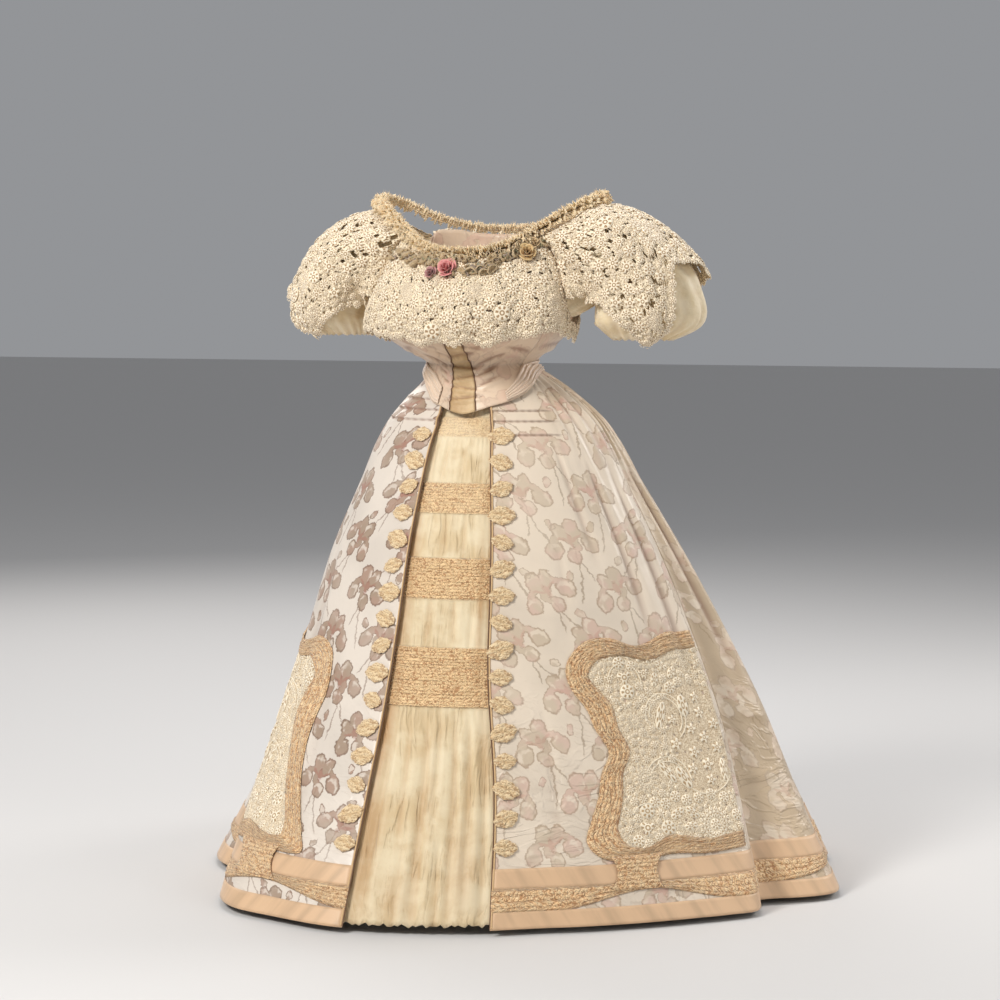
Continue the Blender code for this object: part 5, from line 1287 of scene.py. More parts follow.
# Bodice: a boned bodice of the brocade, cut to a point in front. A vest of gold silk with crosswise folds
# fills its centre between dark edges, and the fronts are drawn in folds towards the waist.
BodiceSection = namedtuple("BodiceSection", "height half_width half_depth forward")
BODICE_SECTIONS = table(BodiceSection, (0, 0.1085, 0.0925, 0), (0.015, 0.124, 0.104, 0.012),
    (0.03, 0.15, 0.121, 0.028), (0.05, 0.176, 0.135, 0.044), (0.07, 0.192, 0.143, 0.053), (0.1, 0.2, 0.146, 0.056),
    (0.13, 0.202, 0.142, 0.05), (0.16, 0.2, 0.138, 0.04), (0.19, 0.196, 0.134, 0.028), (0.22, 0.19, 0.13, 0.017),
    (0.27, 0.178, 0.122, 0.004))
LEAN = 0.013  # how far the shoulders stand to the wearer's left of the waist
Edge = namedtuple("Edge", "angle bottom top")
BODICE_EDGES = table(Edge, (-185, -0.012, 0.258), (-150, -0.012, 0.262), (-130, -0.012, 0.268), (-118, -0.012, 0.258),
    (-112, -0.012, 0.22), (-104, -0.012, 0.15), (-95, -0.012, 0.106), (-85, -0.014, 0.108), (-75, -0.018, 0.158),
    (-68, -0.023, 0.228), (-61, -0.029, 0.258), (-55, -0.035, 0.251), (-42, -0.055, 0.234), (-30, -0.073, 0.222),
    (-18, -0.081, 0.215), (-8, -0.089, 0.212), (0, -0.0945, 0.211), (8, -0.089, 0.212), (18, -0.08, 0.215),
    (30, -0.071, 0.222), (42, -0.058, 0.234), (55, -0.04, 0.251), (61, -0.031, 0.258), (68, -0.024, 0.228),
    (75, -0.019, 0.158), (85, -0.014, 0.108), (95, -0.012, 0.106), (104, -0.012, 0.15), (112, -0.012, 0.22),
    (118, -0.012, 0.258), (130, -0.012, 0.268), (150, -0.012, 0.262), (185, -0.012, 0.258))
VestEdge = namedtuple("VestEdge", "height right_angle left_angle")
VEST_EDGES = table(VestEdge, (-0.095, -14.5, 5.7), (-0.06, -16.5, 4.8), (-0.03, -17, 5.3), (0, -16, 7),
    (0.03, -8.5, 8), (0.1, -7, 9), (0.215, -8, 10))
VEST_COLUMN = 8
FRONT_COLUMN = 40
SIDE_SEAM, BACK_SEAM = 68, 118
body_half_width, body_half_depth, body_forward = curves_through(BODICE_SECTIONS)
bodice_bottom, bodice_top = curves_through(BODICE_EDGES)
vest_right, vest_left = curves_through(VEST_EDGES)


def bodice_surface(column, height):
    """The bodice's outer face. Its columns are angles, except that those near the vest follow its edges."""
    column, height = matched(column, height)
    right, left = vest_right(height), vest_left(height)
    spread = FRONT_COLUMN - VEST_COLUMN
    angle = np.select(
        [np.abs(column) >= FRONT_COLUMN, column < -VEST_COLUMN, column > VEST_COLUMN],
        [column, right + (column + VEST_COLUMN) / spread * (right + FRONT_COLUMN),
         left + (column - VEST_COLUMN) / spread * (FRONT_COLUMN - left)],
        right + (column + VEST_COLUMN) / (2 * VEST_COLUMN) * (left - right))
    a = np.radians(angle)
    below = height < 0
    over_skirt = ellipse_radius(angle, section_half_width(-height), section_half_depth(-height))
    over_skirt = over_skirt + 0.004 + 0.005 * np.clip(-height / 0.03, 0, 1)
    body = ellipse_radius(angle, body_half_width(height), body_half_depth(height))
    radius = np.where(below, over_skirt, body)
    side = np.where(below, section_side_shift(-height), LEAN * ease(height / 0.2))
    forward = np.where(below, -section_back_shift(-height), body_forward(height))
    return np.stack([side + radius * np.sin(a), -forward - radius * np.cos(a), height], axis=-1)


def bodice_frame(column, height):
    return surface_frame(bodice_surface, column, height, 0.5, -0.0015)


Fold = namedtuple("Fold", "column height half_column half_height slope depth")
BODICE_FOLDS = table(Fold, (0, -0.07, 16, 0.0034, 0.006, 0.0018), (0, -0.05, 16, 0.003, -0.005, 0.0016),
    (0, -0.03, 16, 0.0034, 0.007, 0.0018), (0, -0.01, 16, 0.003, -0.004, 0.0016),
    (0, 0.012, 16, 0.0034, 0.006, 0.0018), (0, 0.034, 16, 0.003, -0.005, 0.0014),
    (24, 0.026, 15, 0.004, 0.012, 0.0022), (30, 0.004, 17, 0.0036, 0.014, 0.002),
    (26, -0.016, 13, 0.0036, 0.012, 0.0018), (38, 0.044, 17, 0.0044, 0.014, 0.0022),
    (20, -0.038, 10, 0.0036, 0.01, 0.0016), (-20, -0.036, 9, 0.0036, 0.01, 0.0016),
    (-26, 0.022, 14, 0.004, 0.012, 0.0022), (-32, 0, 15, 0.0036, 0.014, 0.002),
    (-25, -0.018, 11, 0.0036, 0.01, 0.0016), (-40, 0.042, 17, 0.0044, 0.014, 0.0022),
    (58, 0.022, 12, 0.0044, -0.006, 0.0018), (-58, 0.022, 12, 0.0044, -0.006, 0.0018),
    (90, 0.03, 16, 0.006, 0.004, 0.0018), (-90, 0.03, 16, 0.006, 0.004, 0.0018),
    (140, 0.034, 18, 0.006, -0.004, 0.0018), (-140, 0.034, 18, 0.006, -0.004, 0.0018))


def bodice_relief(column, height):
    relief = np.zeros(np.broadcast(column, height).shape)
    for fold in BODICE_FOLDS:
        across = (column - fold.column) / fold.half_column
        up_down = (height - fold.height - fold.slope * across * np.sign(fold.column or 1)) / fold.half_height
        ridge = np.exp(-up_down ** 2) - 0.5 * np.exp(-(up_down - 1.7) ** 2)
        relief += 2.3 * fold.depth * np.exp(-across ** 2) * ridge
    return relief


def bodice_cloth(columns, tops, bottoms, rows, lift=0.0):
    """A grid on the bodice from its top line down to its lower line, lifted off the cloth."""
    share = np.linspace(0.0, 1.0, rows)[:, None]
    height = tops + (bottoms - tops) * share
    column = np.broadcast_to(columns, height.shape)
    points, normals = bodice_frame(column, height)
    return points + normals * (lift + bodice_relief(column, height))[..., None], column, height


vest_silk = chiffon("vest_silk", srgb(214, 186, 142), srgb(184, 150, 104), 90.0, roughness=0.55, fine=0.4,
                    pleats=(14.0, 260.0, 1.0))
bodice_weave = Weave(srgb(222, 198, 172), srgb(206, 180, 156), srgb(214, 178, 158), srgb(182, 154, 130),
                     srgb(206, 166, 146), srgb(180, 158, 136))
bodice_brocade = brocade("bodice_brocade", bodice_weave, 0.6, 0.55)
for panel, start, end in (
    ("vest", -VEST_COLUMN, VEST_COLUMN), ("front_left", VEST_COLUMN, SIDE_SEAM),
    ("front_right", -SIDE_SEAM, -VEST_COLUMN), ("side_left", SIDE_SEAM, BACK_SEAM),
    ("side_right", -BACK_SEAM, -SIDE_SEAM), ("back_left", BACK_SEAM, 180), ("back_right", -180, -BACK_SEAM),
):
    columns = steps(start + 0.06, end - 0.06, 1.4)
    rows = 84 if max(-start, end) <= SIDE_SEAM else 36
    outer, column, height = bodice_cloth(columns, bodice_top(columns), bodice_bottom(columns), rows)
    shade = ease(-bodice_relief(column, height) / 0.0013)
    silk, slot = (vest_silk, "gold_silk") if panel == "vest" else (bodice_brocade, "iris_brocade")
    sew(f"cloth_bodice_{panel}", outer, BROCADE, silk, slot, "stretched", ["waistband_brocade"],
        [f"bodice_{panel}"], widest=run_length(bodice_surface(columns, 0.1)), tone=shade)
for side, way in SIDES:
    heights = np.linspace(bodice_bottom(VEST_COLUMN) + 0.001, 0.2, 60)
    points, normals = bodice_frame(way * (VEST_COLUMN + 0.3), heights)
    lift = 0.0008 + bodice_relief(way * (VEST_COLUMN + 0.3), heights)
    dress(tube(f"vest_edge_{side}", points + normals * lift[:, None], 0.0012, cord_brown), "iris_brocade")

# Waistband: a straight band of the brocade inside the bodice, which the overskirt and underskirt hang from.
WAISTBAND = (0.0003, 0.024)
angles = np.arange(-180, 180, 5.0)
ring = bodice_surface(angles, 0.0)
ring = ring - unit(ring) * 0.0021
outer = np.stack([ring + (0, 0, height) for height in np.linspace(WAISTBAND[1], WAISTBAND[0], 5)])
sew("waistband_brocade", outer, BROCADE, bodice_brocade, "iris_brocade", "stretched", [], ["skirt_waistband"],
    ring=True)

# Sash: satin on the bias, drawn round the waist in soft folds from each side of the vest to the centre back.
SashEdge = namedtuple("SashEdge", "angle top")
LEFT_SASH = table(SashEdge, (26, -0.062), (40, -0.034), (52, -0.016), (70, 0.001), (100, 0.008), (180, 0.01))
RIGHT_SASH = table(SashEdge, (22, -0.044), (40, -0.018), (60, -0.004), (80, 0.004), (110, 0.008), (180, 0.01))
SASH_FOLDS = 4.5
sash_satin = satin("sash_satin", srgb(228, 206, 184), 0.36, pleats=(10.0, 170.0, 1.0), strength=0.35)
for side, way, rows, start in (("left", 1, LEFT_SASH, 31), ("right", -1, RIGHT_SASH, 22)):
    columns = steps(way * start, way * 179.94, 1.4)
    columns = columns if way > 0 else columns[::-1]
    bottoms = bodice_bottom(columns) + 0.002
    outer, column, height = bodice_cloth(columns, curves_through(rows)[0](np.abs(columns)), bottoms, 34,
                                         lift=0.0018)
    share = np.linspace(0.0, 1.0, 34)[:, None]
    _, normals = bodice_frame(column, height)
    folds = np.abs(np.sin(np.pi * SASH_FOLDS * (share + 0.02 * wavering(column * 0.09, 2.0)))) ** 0.8
    outer = outer + normals * (0.003 * folds * ease(share / 0.06) * ease((1 - share) / 0.06))[..., None]
    sew(f"sash_folds_{side}", outer, SATIN, sash_satin, "sash_satin", "folded", front_to_back("bodice", side),
        [f"sash_{side}"])

# Sleeves: short full puffs of cream chiffon, gathered into the armhole and drawn in to a narrow open cuff.
SleeveRing = namedtuple("SleeveRing", "length across height tilt half_height half_depth")
LEFT_SLEEVE = table(SleeveRing, (0.22, 0.272, 0.212, 18, 0.09, 0.1), (0.45, 0.318, 0.18, 51, 0.093, 0.104),
    (0.7, 0.345, 0.125, 70, 0.108, 0.106), (0.88, 0.35, 0.078, 88, 0.102, 0.094), (1, 0.336, 0.05, 90, 0.057, 0.057))
RIGHT_SLEEVE = table(SleeveRing, (0.22, 0.252, 0.205, 17, 0.08, 0.098), (0.45, 0.284, 0.172, 50, 0.08, 0.102),
    (0.7, 0.3, 0.125, 69, 0.078, 0.102), (0.88, 0.303, 0.084, 86, 0.08, 0.085), (1, 0.29, 0.056, 90, 0.056, 0.056))
ShoulderPoint = namedtuple("ShoulderPoint", "turn across front height")
# The sleeve's first ring over the shoulder, between the bodice's front and back edges.
SHOULDER = table(ShoulderPoint, (-90, 0.15, -0.062, 0.25), (-45, 0.2, -0.052, 0.284), (0, 0.218, -0.004, 0.298),
    (45, 0.2, 0.05, 0.28), (90, 0.15, 0.066, 0.25))


def armhole_on_bodice(way, turn):
    angle = way * (61 + (118 - 61) * (turn - 90) / 180)
    point, normal = bodice_frame(angle, bodice_top(angle) - 0.006)
    return point + normal * 0.0035


def sleeve_start(way, turn):
    """The armhole ring; turn 0 is over the shoulder, 90 the front, 180 under the arm."""
    over = np.where(turn < 180, turn, turn - 360)
    across, depth, height = (curve(-over) for curve in curves_through(SHOULDER))
    middle = np.stack([LEAN + way * across, depth, height], axis=-1)
    pull = ease((np.abs(over) - 45) / 45)[..., None]
    nearest = armhole_on_bodice(way, np.clip(turn, 90, 270))
    front, back = armhole_on_bodice(way, np.full(turn.shape, 90.0)), armhole_on_bodice(way, np.full(turn.shape, 270.0))
    over_shoulder = middle * (1 - pull) + np.where((over > 0)[..., None], front, back) * pull
    return np.where(((turn >= 90) & (turn <= 270))[..., None], nearest, over_shoulder)


def sleeve_surface(way, turn, length):
    turn, length = matched(turn, length)
    rings = curves_through(LEFT_SLEEVE if way > 0 else RIGHT_SLEEVE)
    across, height, tilt, half_height, half_depth = (curve(np.maximum(length, 0.22)) for curve in rings)
    tilt, a = np.radians(tilt), np.radians(turn)
    reach = half_height * np.cos(a)
    ring = np.stack([way * (across + np.sin(tilt) * reach), -half_depth * np.sin(a), height + np.cos(tilt) * reach],
                    axis=-1)
    blend = ease(length / 0.3)[..., None]
    return sleeve_start(way, turn % 360) * (1 - blend) + ring * blend


def sleeve_frame(way, turn, length):
    turn, length = matched(turn, length)
    across = sleeve_surface(way, turn + 2, length) - sleeve_surface(way, turn - 2, length)
    low, high = np.maximum(0.0, length - 0.01), np.minimum(1.0, length + 0.01)
    along = sleeve_surface(way, turn, high) - sleeve_surface(way, turn, low)
    return sleeve_surface(way, turn, length), unit(np.cross(across, along)) * way


puff_chiffon = chiffon("puff_chiffon", srgb(238, 222, 190), srgb(222, 200, 158), 80.0, roughness=0.6, fine=0.35)
for side, way in SIDES:
    turns, lengths = np.arange(184, 544, 3.0), np.linspace(0.0, 1.0, 46)
    turn, length = np.meshgrid(turns[::-1] if way > 0 else turns, lengths)
    points, normals = sleeve_frame(way, turn, length)
    gathers = np.sin(np.radians(turn) * 27 + 1.5 * np.sin(np.radians(turn) * 5))
    ends = ease((0.26 - length) / 0.24) * 0.8 + ease((length - 0.68) / 0.3)
    folds = 0.0022 * gathers * ends * ease(length / 0.03)
    folds += 0.0055 * wavering(np.radians(turn) * 4 + length * 3, 1.0 + way) * np.sin(np.pi * length) ** 0.5
    outer = points + normals * folds[..., None]
    # The tone paints shade into the hollows of the puff's folds.
    sew(f"puff_{side}", outer, CHIFFON, puff_chiffon, "gold_chiffon", "gathered", [f"cloth_bodice_side_{side}"],
        [f"sleeve_{side}"], fullness=1.3, ring=True, tone=0.4 * ease(-folds / 0.004))

# Bertha: heavy cotton lace from the neckline over the bust and back, cut through between its flowers and
# edged in scallops. Lace caps of the same pattern cover the sleeves.
LaceEdge = namedtuple("LaceEdge", "angle low")
BERTHA_LOW = table(LaceEdge, (0, 0.04), (14, 0.05), (26, 0.041), (40, 0.054), (54, 0.06), (66, 0.072), (80, 0.062),
    (100, 0.05), (118, 0.062), (140, 0.052), (160, 0.062), (180, 0.052))
BUST_LEVEL = 0.13
bertha_low, = curves_through(BERTHA_LOW)


def bertha_surface(column, share):
    """The lace's inner face: share 0 is the neckline or armhole, 1 the scalloped lower edge."""
    column, share = matched(column, share)
    under_arm = ease((np.abs(column) - 55) / 8) * ease((124 - np.abs(column)) / 8)
    top, low = bodice_top(column) - 0.002 - 0.02 * under_arm, bertha_low(np.abs(column))
    height = top + (low - top) * share
    points, normals = bodice_frame(column, height)
    bust = bodice_surface(column, BUST_LEVEL)
    hanging = np.where(height < BUST_LEVEL, 0.55, 0.0)[..., None] * (1.0, 1.0, 0.0)
    points = points + (bust - points) * hanging
    lift = 0.0018 + 0.004 * under_arm + np.maximum(share, 0) ** 0.7 * (0.011 - 0.006 * under_arm)
    side_flare = np.where(column < 0, 0.024, 0.01)
    lift = lift + side_flare * ease((np.abs(column) - 46) / 16) * ease((82 - np.abs(column)) / 12) * share
    ruffle = 0.0045 * (1 - 0.6 * under_arm) * share * np.sin(np.radians(column * 13))
    return points + normals * (1.0, 1.0, 0.3) * (lift + ruffle)[..., None]


guipure_ground = lace_cloth("guipure_ground", srgb(248, 232, 202), srgb(156, 124, 86), 0.0165)
PACKED_SIZES = (
    (0.0125, ("bloom", "trefoil", "star")), (0.0096, ("bloom", "leaf", "disc", "leaf", "star")),
    (0.0072, ("leaf", "bloom", "leaf", "disc")), (0.005, ("leaf", "bloom")), (0.003, ("bead",)),
)
LaceMotif = namedtuple("LaceMotif", "kind angle down size")  # down is a share of the lace's depth, the size in mm


def worked_lace(name, grid, spots):
    """The motifs of one piece of guipure, its picots along the edge, and the cells of ground left between."""
    lengths = distances_along(grid[-1])
    per_row = np.linalg.norm(grid[-1] - grid[-2], axis=1).mean()
    for number, at in enumerate(np.arange(0.008, lengths[-1] - 0.004, 0.0165)):
        column = np.interp(at, lengths, np.arange(len(lengths)))
        per_column = lengths[-1] / len(lengths)
        spots.append(Spot(("disc", "star")[number % 2], len(grid) - 1 - 0.0045 / per_row, column, 0.008, 0.008, 0))
        for a in np.radians((-75, -38, 0, 38, 75)):
            spots.append(Spot("bead", len(grid) - 1 - (0.0045 - 0.0085 * math.cos(a)) / per_row,
                              column + 0.0085 * math.sin(a) / per_column, 0.0016, 0.0016, 0))
    spots = packed(grid, spots, PACKED_SIZES)
    dress(lay_motifs(name, grid, spots, guipure_thread), "cotton_lace")
    middles = (grid[:-1, :-1] + grid[1:, 1:]) / 2
    gaps = clear_of(middles, spots, grid) > 0.0021
    gaps[-2:] = False
    gaps[:, :2] = gaps[:, -2:] = False
    return ~gaps


def hand_placed(grid, motifs, column_of):
    """Spots for the listed motifs on one piece of lace."""
    spots = []
    for motif in motifs:
        row, column = motif.down * (len(grid) - 1), column_of(motif.angle)
        if not 1 < column < grid.shape[1] - 2:
            continue
        if motif.kind == "daisy":
            spots += daisy(grid, row, column, motif.size / 1000, petals=18 if motif.size > 28 else 14)
        else:
            spots.append(Spot(motif.kind, row, column, motif.size / 1000, motif.size / 1000, 7 * motif.angle))
    return spots


BERTHA_MOTIFS = table(LaceMotif, ("daisy", 70, 0.7, 30), ("disc", 38, 0.72, 16), ("disc", 22, 0.66, 13),
    ("trefoil", 30, 0.84, 15), ("star", 60, 0.3, 13), ("star", 61, 0.46, 13), ("disc", 45, 0.88, 10),
    ("disc", 36, 0.9, 10), ("star", 8, 0.52, 12), ("daisy", 16, 0.42, 20), ("disc", -14, 0.88, 17),
    ("star", -18, 0.56, 14), ("daisy", -38, 0.5, 22), ("trefoil", -48, 0.76, 17), ("disc", -60, 0.48, 14),
    ("daisy", -70, 0.72, 24), ("daisy", 110, 0.6, 26), ("daisy", 150, 0.6, 26), ("daisy", -110, 0.6, 26),
    ("daisy", -150, 0.6, 26), ("trefoil", 130, 0.7, 16), ("trefoil", -130, 0.7, 16), ("disc", -4, 0.7, 13),
    ("star", -30, 0.86, 11))
CAP_MOTIFS = {
    "left": table(LaceMotif, ("daisy", 34, 0.62, 42), ("daisy", 72, 0.86, 24), ("trefoil", 78, 0.48, 15),
        ("disc", 62, 0.6, 12), ("disc", 88, 0.66, 11), ("leaf", 50, 0.3, 16), ("daisy", -20, 0.7, 30),
        ("daisy", -70, 0.6, 30), ("star", 12, 0.4, 13), ("star", 24, 0.3, 12), ("trefoil", -45, 0.5, 16)),
    "right": table(LaceMotif, ("daisy", 82, 0.88, 24), ("daisy", 60, 0.66, 28), ("disc", 44, 0.82, 15),
        ("disc", 76, 0.56, 13), ("trefoil", 84, 0.4, 15), ("daisy", 28, 0.5, 24), ("daisy", -10, 0.66, 30),
        ("daisy", -66, 0.6, 30), ("star", 40, 0.28, 13), ("trefoil", -40, 0.5, 16)),
}


def scalloped(along, size):
    """A row of round scallops: 0 at their tips and 1 in the notches between them."""
    return 1 - np.sqrt(np.maximum(0.0, 1 - (2 * (along / size % 1) - 1) ** 2))


for panel, start, end in (("bertha_front", 0, 88), ("bertha_back", 88, 180)):
    for side, way in SIDES:
        columns = steps(start + 0.05, end - 0.05, 0.85)
        columns = columns if way > 0 else -columns[::-1]
        column, share = grid_of(columns, np.linspace(0.0, 1.0, 50))
        share = share * (1 - 0.045 * scalloped(column * 0.0036, 0.02))
        outer = bertha_surface(column, share)
        outer = outer + unit(np.cross(np.gradient(outer, axis=0), np.gradient(outer, axis=1))) * 0.0012
        spots = hand_placed(outer, BERTHA_MOTIFS, lambda a: np.interp(a, columns, np.arange(len(columns)), -9, 9999))
        kept = worked_lace(f"{panel}_flowers_{side}", outer, spots)
        sew(f"{panel}_lace_{side}", outer, LACE, guipure_ground, "cotton_lace", "gathered",
            [f"cloth_bodice_front_{side}"], [f"{panel}_{side}"], kept=kept)

CapEdge = namedtuple("CapEdge", "turn length")
LEFT_CAP = table(CapEdge, (-110, 0.7), (-80, 0.76), (-40, 0.7), (0, 0.66), (30, 0.6), (44, 0.62), (58, 0.9),
    (78, 0.96), (100, 0.84), (120, 0.62), (142, 0.5))
RIGHT_CAP = table(CapEdge, (-110, 0.7), (-80, 0.78), (-40, 0.72), (0, 0.74), (30, 0.84), (55, 0.95), (80, 0.93),
    (104, 0.78), (122, 0.66), (142, 0.56))


def cap_surface(way, turn, share):
    turn, share = matched(turn, share)
    reach, = curves_through(LEFT_CAP if way > 0 else RIGHT_CAP)
    length = 0.02 + (reach(turn) - 0.02) * share
    points, normals = sleeve_frame(way, turn, length)
    ruffle = 0.004 * share * np.sin(np.radians(turn * 11)) + 0.0025 * ease((np.abs(turn) - 50) / 20)
    tip = (0.004 if way > 0 else 0.02) * share ** 4 * ease(1 - abs(turn) / 36)
    return points + normals * (0.004 + 0.0085 * ease(share / 0.11) + 0.006 * share + ruffle + tip)[..., None]


for side, way in SIDES:
    turns = steps(-108, 142, 1.9)
    turns = turns[::-1] if way > 0 else turns
    turn, share = grid_of(turns, np.linspace(0.0, 1.0, 56))
    share = share * (1 - 0.04 * scalloped(turn * 0.0019, 0.02))
    outer = cap_surface(way, turn, share)
    spots = hand_placed(outer, CAP_MOTIFS[side], lambda a: abs(a - turns[0]) / abs(turns[1] - turns[0]))
    kept = worked_lace(f"cap_flowers_{side}", outer, spots)
    sew(f"lace_cap_{side}", outer, LACE, guipure_ground, "cotton_lace", "gathered", [f"puff_{side}"],
        [f"lace_sleeve_{side}"], kept=kept)

# Neck ruche: four strips a side of frayed tan chiffon, gathered tight along the neckline.
NeckPoint = namedtuple("NeckPoint", "place across front height")
NECK = table(NeckPoint, (0, 0, -0.143, 0.211), (1, 0.049, -0.1365, 0.215), (2, 0.088, -0.1215, 0.227),
    (3, 0.127, -0.093, 0.251), (4, 0.168, -0.066, 0.281), (5, 0.21, -0.025, 0.31), (6, 0.226, 0.02, 0.322),
    (7, 0.2, 0.06, 0.312), (8, 0.15, 0.085, 0.287), (9, 0.1, 0.102, 0.271), (10, 0.05, 0.116, 0.262),
    (11, 0, 0.12, 0.26))
frayed_chiffon = chiffon("frayed_chiffon", srgb(248, 230, 196), srgb(230, 204, 162), 300.0, fine=0.3)
neck_lines = curves_through(NECK)


def neck_point(way, place):
    across, front, height = (line(place) for line in neck_lines)
    return np.stack([LEAN + way * across, front, height + 0.004], axis=-1)


strand = round_motif("strand", lambda a: 1.0, [(0, 1.0), (0.35, 0.75), (1.0, 0.0)], 3, sink=0.1)
Strip = namedtuple("Strip", "lean width waves depth seed")
NECK_STRIPS = table(Strip, (-25, 0.011, 118, 0.0028, 1), (20, 0.015, 128, 0.0034, 2.3), (62, 0.02, 110, 0.0036, 4.1),
    (98, 0.024, 96, 0.0034, 5.6))
places = np.linspace(0.0, 11.0, 620)
order = np.arange(420)
for side, way in SIDES:
    strands = []
    base = neck_point(way, places)
    ahead = unit(np.gradient(base, axis=0))
    outward = unit(np.cross(ahead, (0, 0, 1.0)) * way)
    above = unit(np.cross(outward, ahead) * way)
    above = above * np.sign(above[:, 2:3])
    outward = outward * np.sign(np.sum(outward * (base - (LEAN, 0, 0)) * (1, 1, 0), axis=1))[:, None]
    for number, strip in enumerate(NECK_STRIPS):
        share = np.linspace(0.0, 1.0, 4)[:, None]
        lean = np.radians(strip.lean + 24 * wavering(places * 9, strip.seed))
        rise = above * np.cos(lean)[:, None] + outward * np.sin(lean)[:, None]
        aside = np.cross(ahead, rise)
        width = strip.width * (1 + 0.25 * wavering(places * 31, strip.seed + 1))
        wave = strip.depth * np.sin(places * strip.waves / 11 * 2 * np.pi + 2 * wavering(places * 5, strip.seed))
        grid = base + rise * (share * width)[..., None] + aside * (share * wave)[..., None]
        grid = grid + ahead * (0.0025 * share * wavering(places * 40, strip.seed + 2))[..., None]
        grid = grid[:, ::way]
        sew(f"neck_strip_{number}_{side}", grid, 0.0006, frayed_chiffon, "ruched_chiffon", "gathered",
            [f"bertha_front_lace_{side}", f"bertha_back_lace_{side}"], [f"neck_ruche_{side}"] * (number == 0))
        column = (0.5 + order * 0.618034) % 1 * (grid.shape[1] - 1)
        row = np.full(order.shape, 2.8)
        tips = between_points(grid, row, column)
        roots = between_points(grid, row - 1.4, column)
        ahead_here = unit(between_points(np.gradient(grid, axis=1), row, column))
        lean_here = unit(tips - roots) + 0.8 * ahead_here * np.sin(order * 2.4)[:, None]
        across_here = np.cross(ahead_here, lean_here)
        thin = np.full(order.shape, 0.0005)
        sizes = np.stack([thin, thin, 0.0045 + 0.003 * np.sin(order * 1.7)], axis=1)
        strands.append(Placed(strand, tips, lean_here, across_here, sizes))
    dress(scatter(f"neck_strands_{side}", strands, frayed_chiffon), "ruched_chiffon")
bpy.data.objects.remove(strand)

# Silk roses: four loosely wrapped silk flowers sewn on the lace just under the neckline.
Rose = namedtuple("Rose", "node slot column share size light dark")
ROSES = [
    Rose("rose_pink", "pink_silk", -9, 0.16, 0.023, srgb(238, 176, 166), srgb(206, 118, 118)),
    Rose("rose_mauve", "mauve_silk", -22, 0.22, 0.015, srgb(206, 160, 152), srgb(168, 116, 114)),
    Rose("rose_yellow", "gold_silk", 51, 0.15, 0.021, srgb(234, 208, 156), srgb(196, 160, 106)),
    Rose("rose_bud", "gold_silk", 55.5, 0.08, 0.015, srgb(236, 214, 172), srgb(204, 172, 126)),
]


def rose_petals(size, seed):
    """The petals of a rose, as grids: each is a cupped round flap, the outer ones wider and flatter."""
    petals = []
    for k in range(13):
        open_share = k / 12
        turn = k * 2.4 + seed
        across, up = np.meshgrid(np.linspace(-1, 1, 7), np.linspace(1, 0, 6))
        width = 0.34 + 0.36 * open_share
        a = turn + across * (1.15 - 0.25 * open_share)
        reach = (0.1 + 0.72 * open_share * (0.35 + 0.65 * up)) * (1 - 0.1 * across ** 2 * up)
        height = 0.1 + up * (0.92 - 0.55 * open_share) * np.sqrt(np.maximum(0.05, 1 - (across * 0.9) ** 2))
        reach = reach + 0.09 * up ** 3 * (0.5 + open_share) + width * 0.02 * np.sin(across * 5 + seed)
        petals.append(np.stack([reach * np.cos(a), reach * np.sin(a), height], axis=-1) * size)
    return petals


for rose in ROSES:
    base, normal = surface_frame(bertha_surface, rose.column, rose.share, 1.0, 0.03)
    turn = np.array(facing(normal, (0, 0, 1)).to_matrix())
    petals = [grid @ turn.T + base + normal * 0.0015 for grid in rose_petals(rose.size, rose.column)]
    silk = chiffon(f"{rose.node}_silk", rose.light, rose.dark, 160.0, roughness=0.55, fine=0.3)
    shells = [cloth_shell(f"{rose.node}_petal_{k}", grid[:, ::-1], 0.0004, silk) for k, grid in enumerate(petals)]
    dress(join_pieces(f"{rose.node}_petals", shells), rose.slot, rose.node)

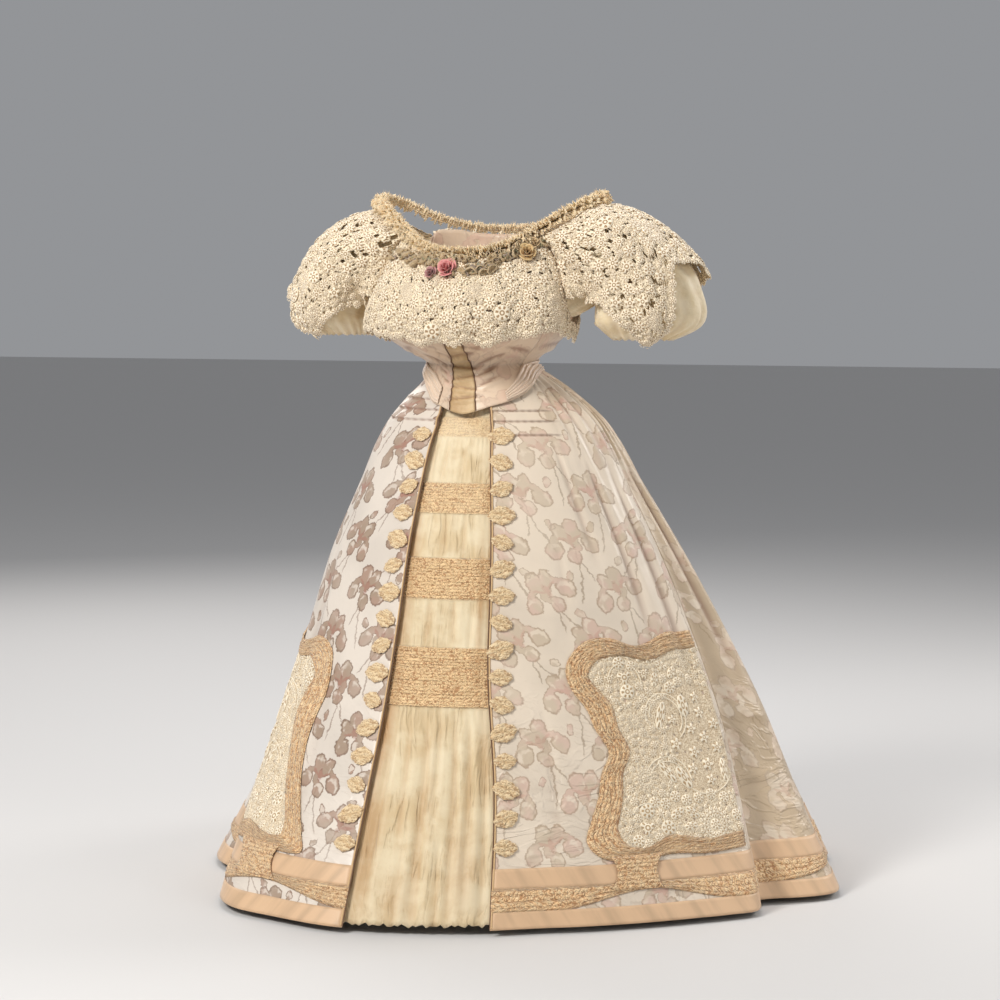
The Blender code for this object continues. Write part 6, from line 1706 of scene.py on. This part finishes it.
# Silk petals: small tan, green and grey petals sewn in a loose garland just under the ruche, and four small
# covered buttons down each side of the vest.
Garland = namedtuple("Garland", "name count seed size colour shade")
GARLANDS = [
    Garland("petals_tan", 60, 0.1, 0.0125, srgb(240, 214, 170), srgb(206, 172, 122)),
    Garland("petals_green", 18, 0.37, 0.01, srgb(190, 182, 140), srgb(150, 142, 100)),
    Garland("petals_grey", 18, 0.71, 0.0095, srgb(206, 184, 162), srgb(166, 140, 122)),
]
petal = round_motif("petal", lambda a: 0.78 + 0.16 * math.cos(2 * a) + 0.1 * math.sin(3 * a),
                    [(0, 0.05), (0.5, 0.2), (0.85, 0.66), (1.0, 0.52)], 11, rays=0, sink=0.02)
for garland in GARLANDS:
    order = np.arange(garland.count)
    column = ((garland.seed + order * 0.618034) % 1 - 0.5) * 124
    share = 0.02 + 0.21 * ((garland.seed + order * 0.7548777) % 1) ** 1.4
    base, normals = surface_frame(bertha_surface, column, share, 1.0, 0.03)
    spin = order * 2.4
    headings = np.stack([np.sin(spin), 0.2 * np.cos(spin * 2), np.cos(spin)], axis=1)
    tilted = unit(normals + (0.5 + 0.5 * np.cos(order * 1.3))[:, None] * headings)
    sizes = garland.size * (0.8 + 0.3 * np.sin(order * 1.7))[:, None] * (0.95, 0.8, 1.0)
    silk = chiffon(f"silk_{garland.name}", garland.colour, garland.shade, 420.0, fine=0.8)
    placed = Placed(petal, base + normals * 0.004, tilted, headings, sizes)
    dress(scatter(f"silk_{garland.name}", [placed], silk), "gold_silk")
bpy.data.objects.remove(petal)
places = [(side * (VEST_COLUMN + 3.2), height) for side in (-1, 1) for height in (-0.062, -0.04, -0.018, 0.006)]
column, height = np.array(places).T
base, normals = bodice_frame(column, height)
lift = bodice_relief(column, height)[:, None]
knobs = Placed(LACE_MOTIFS["bead"], base + normals * lift, normals, np.tile((0.0, 0.0, 1.0), (8, 1)),
               np.full((8, 3), 0.0042))
dress(scatter("bodice_buttons", [knobs], sash_satin), "sash_satin")
for shape in LACE_MOTIFS.values():
    bpy.data.objects.remove(shape)

# The box round every piece that is shown, but the floor.
low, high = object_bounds()
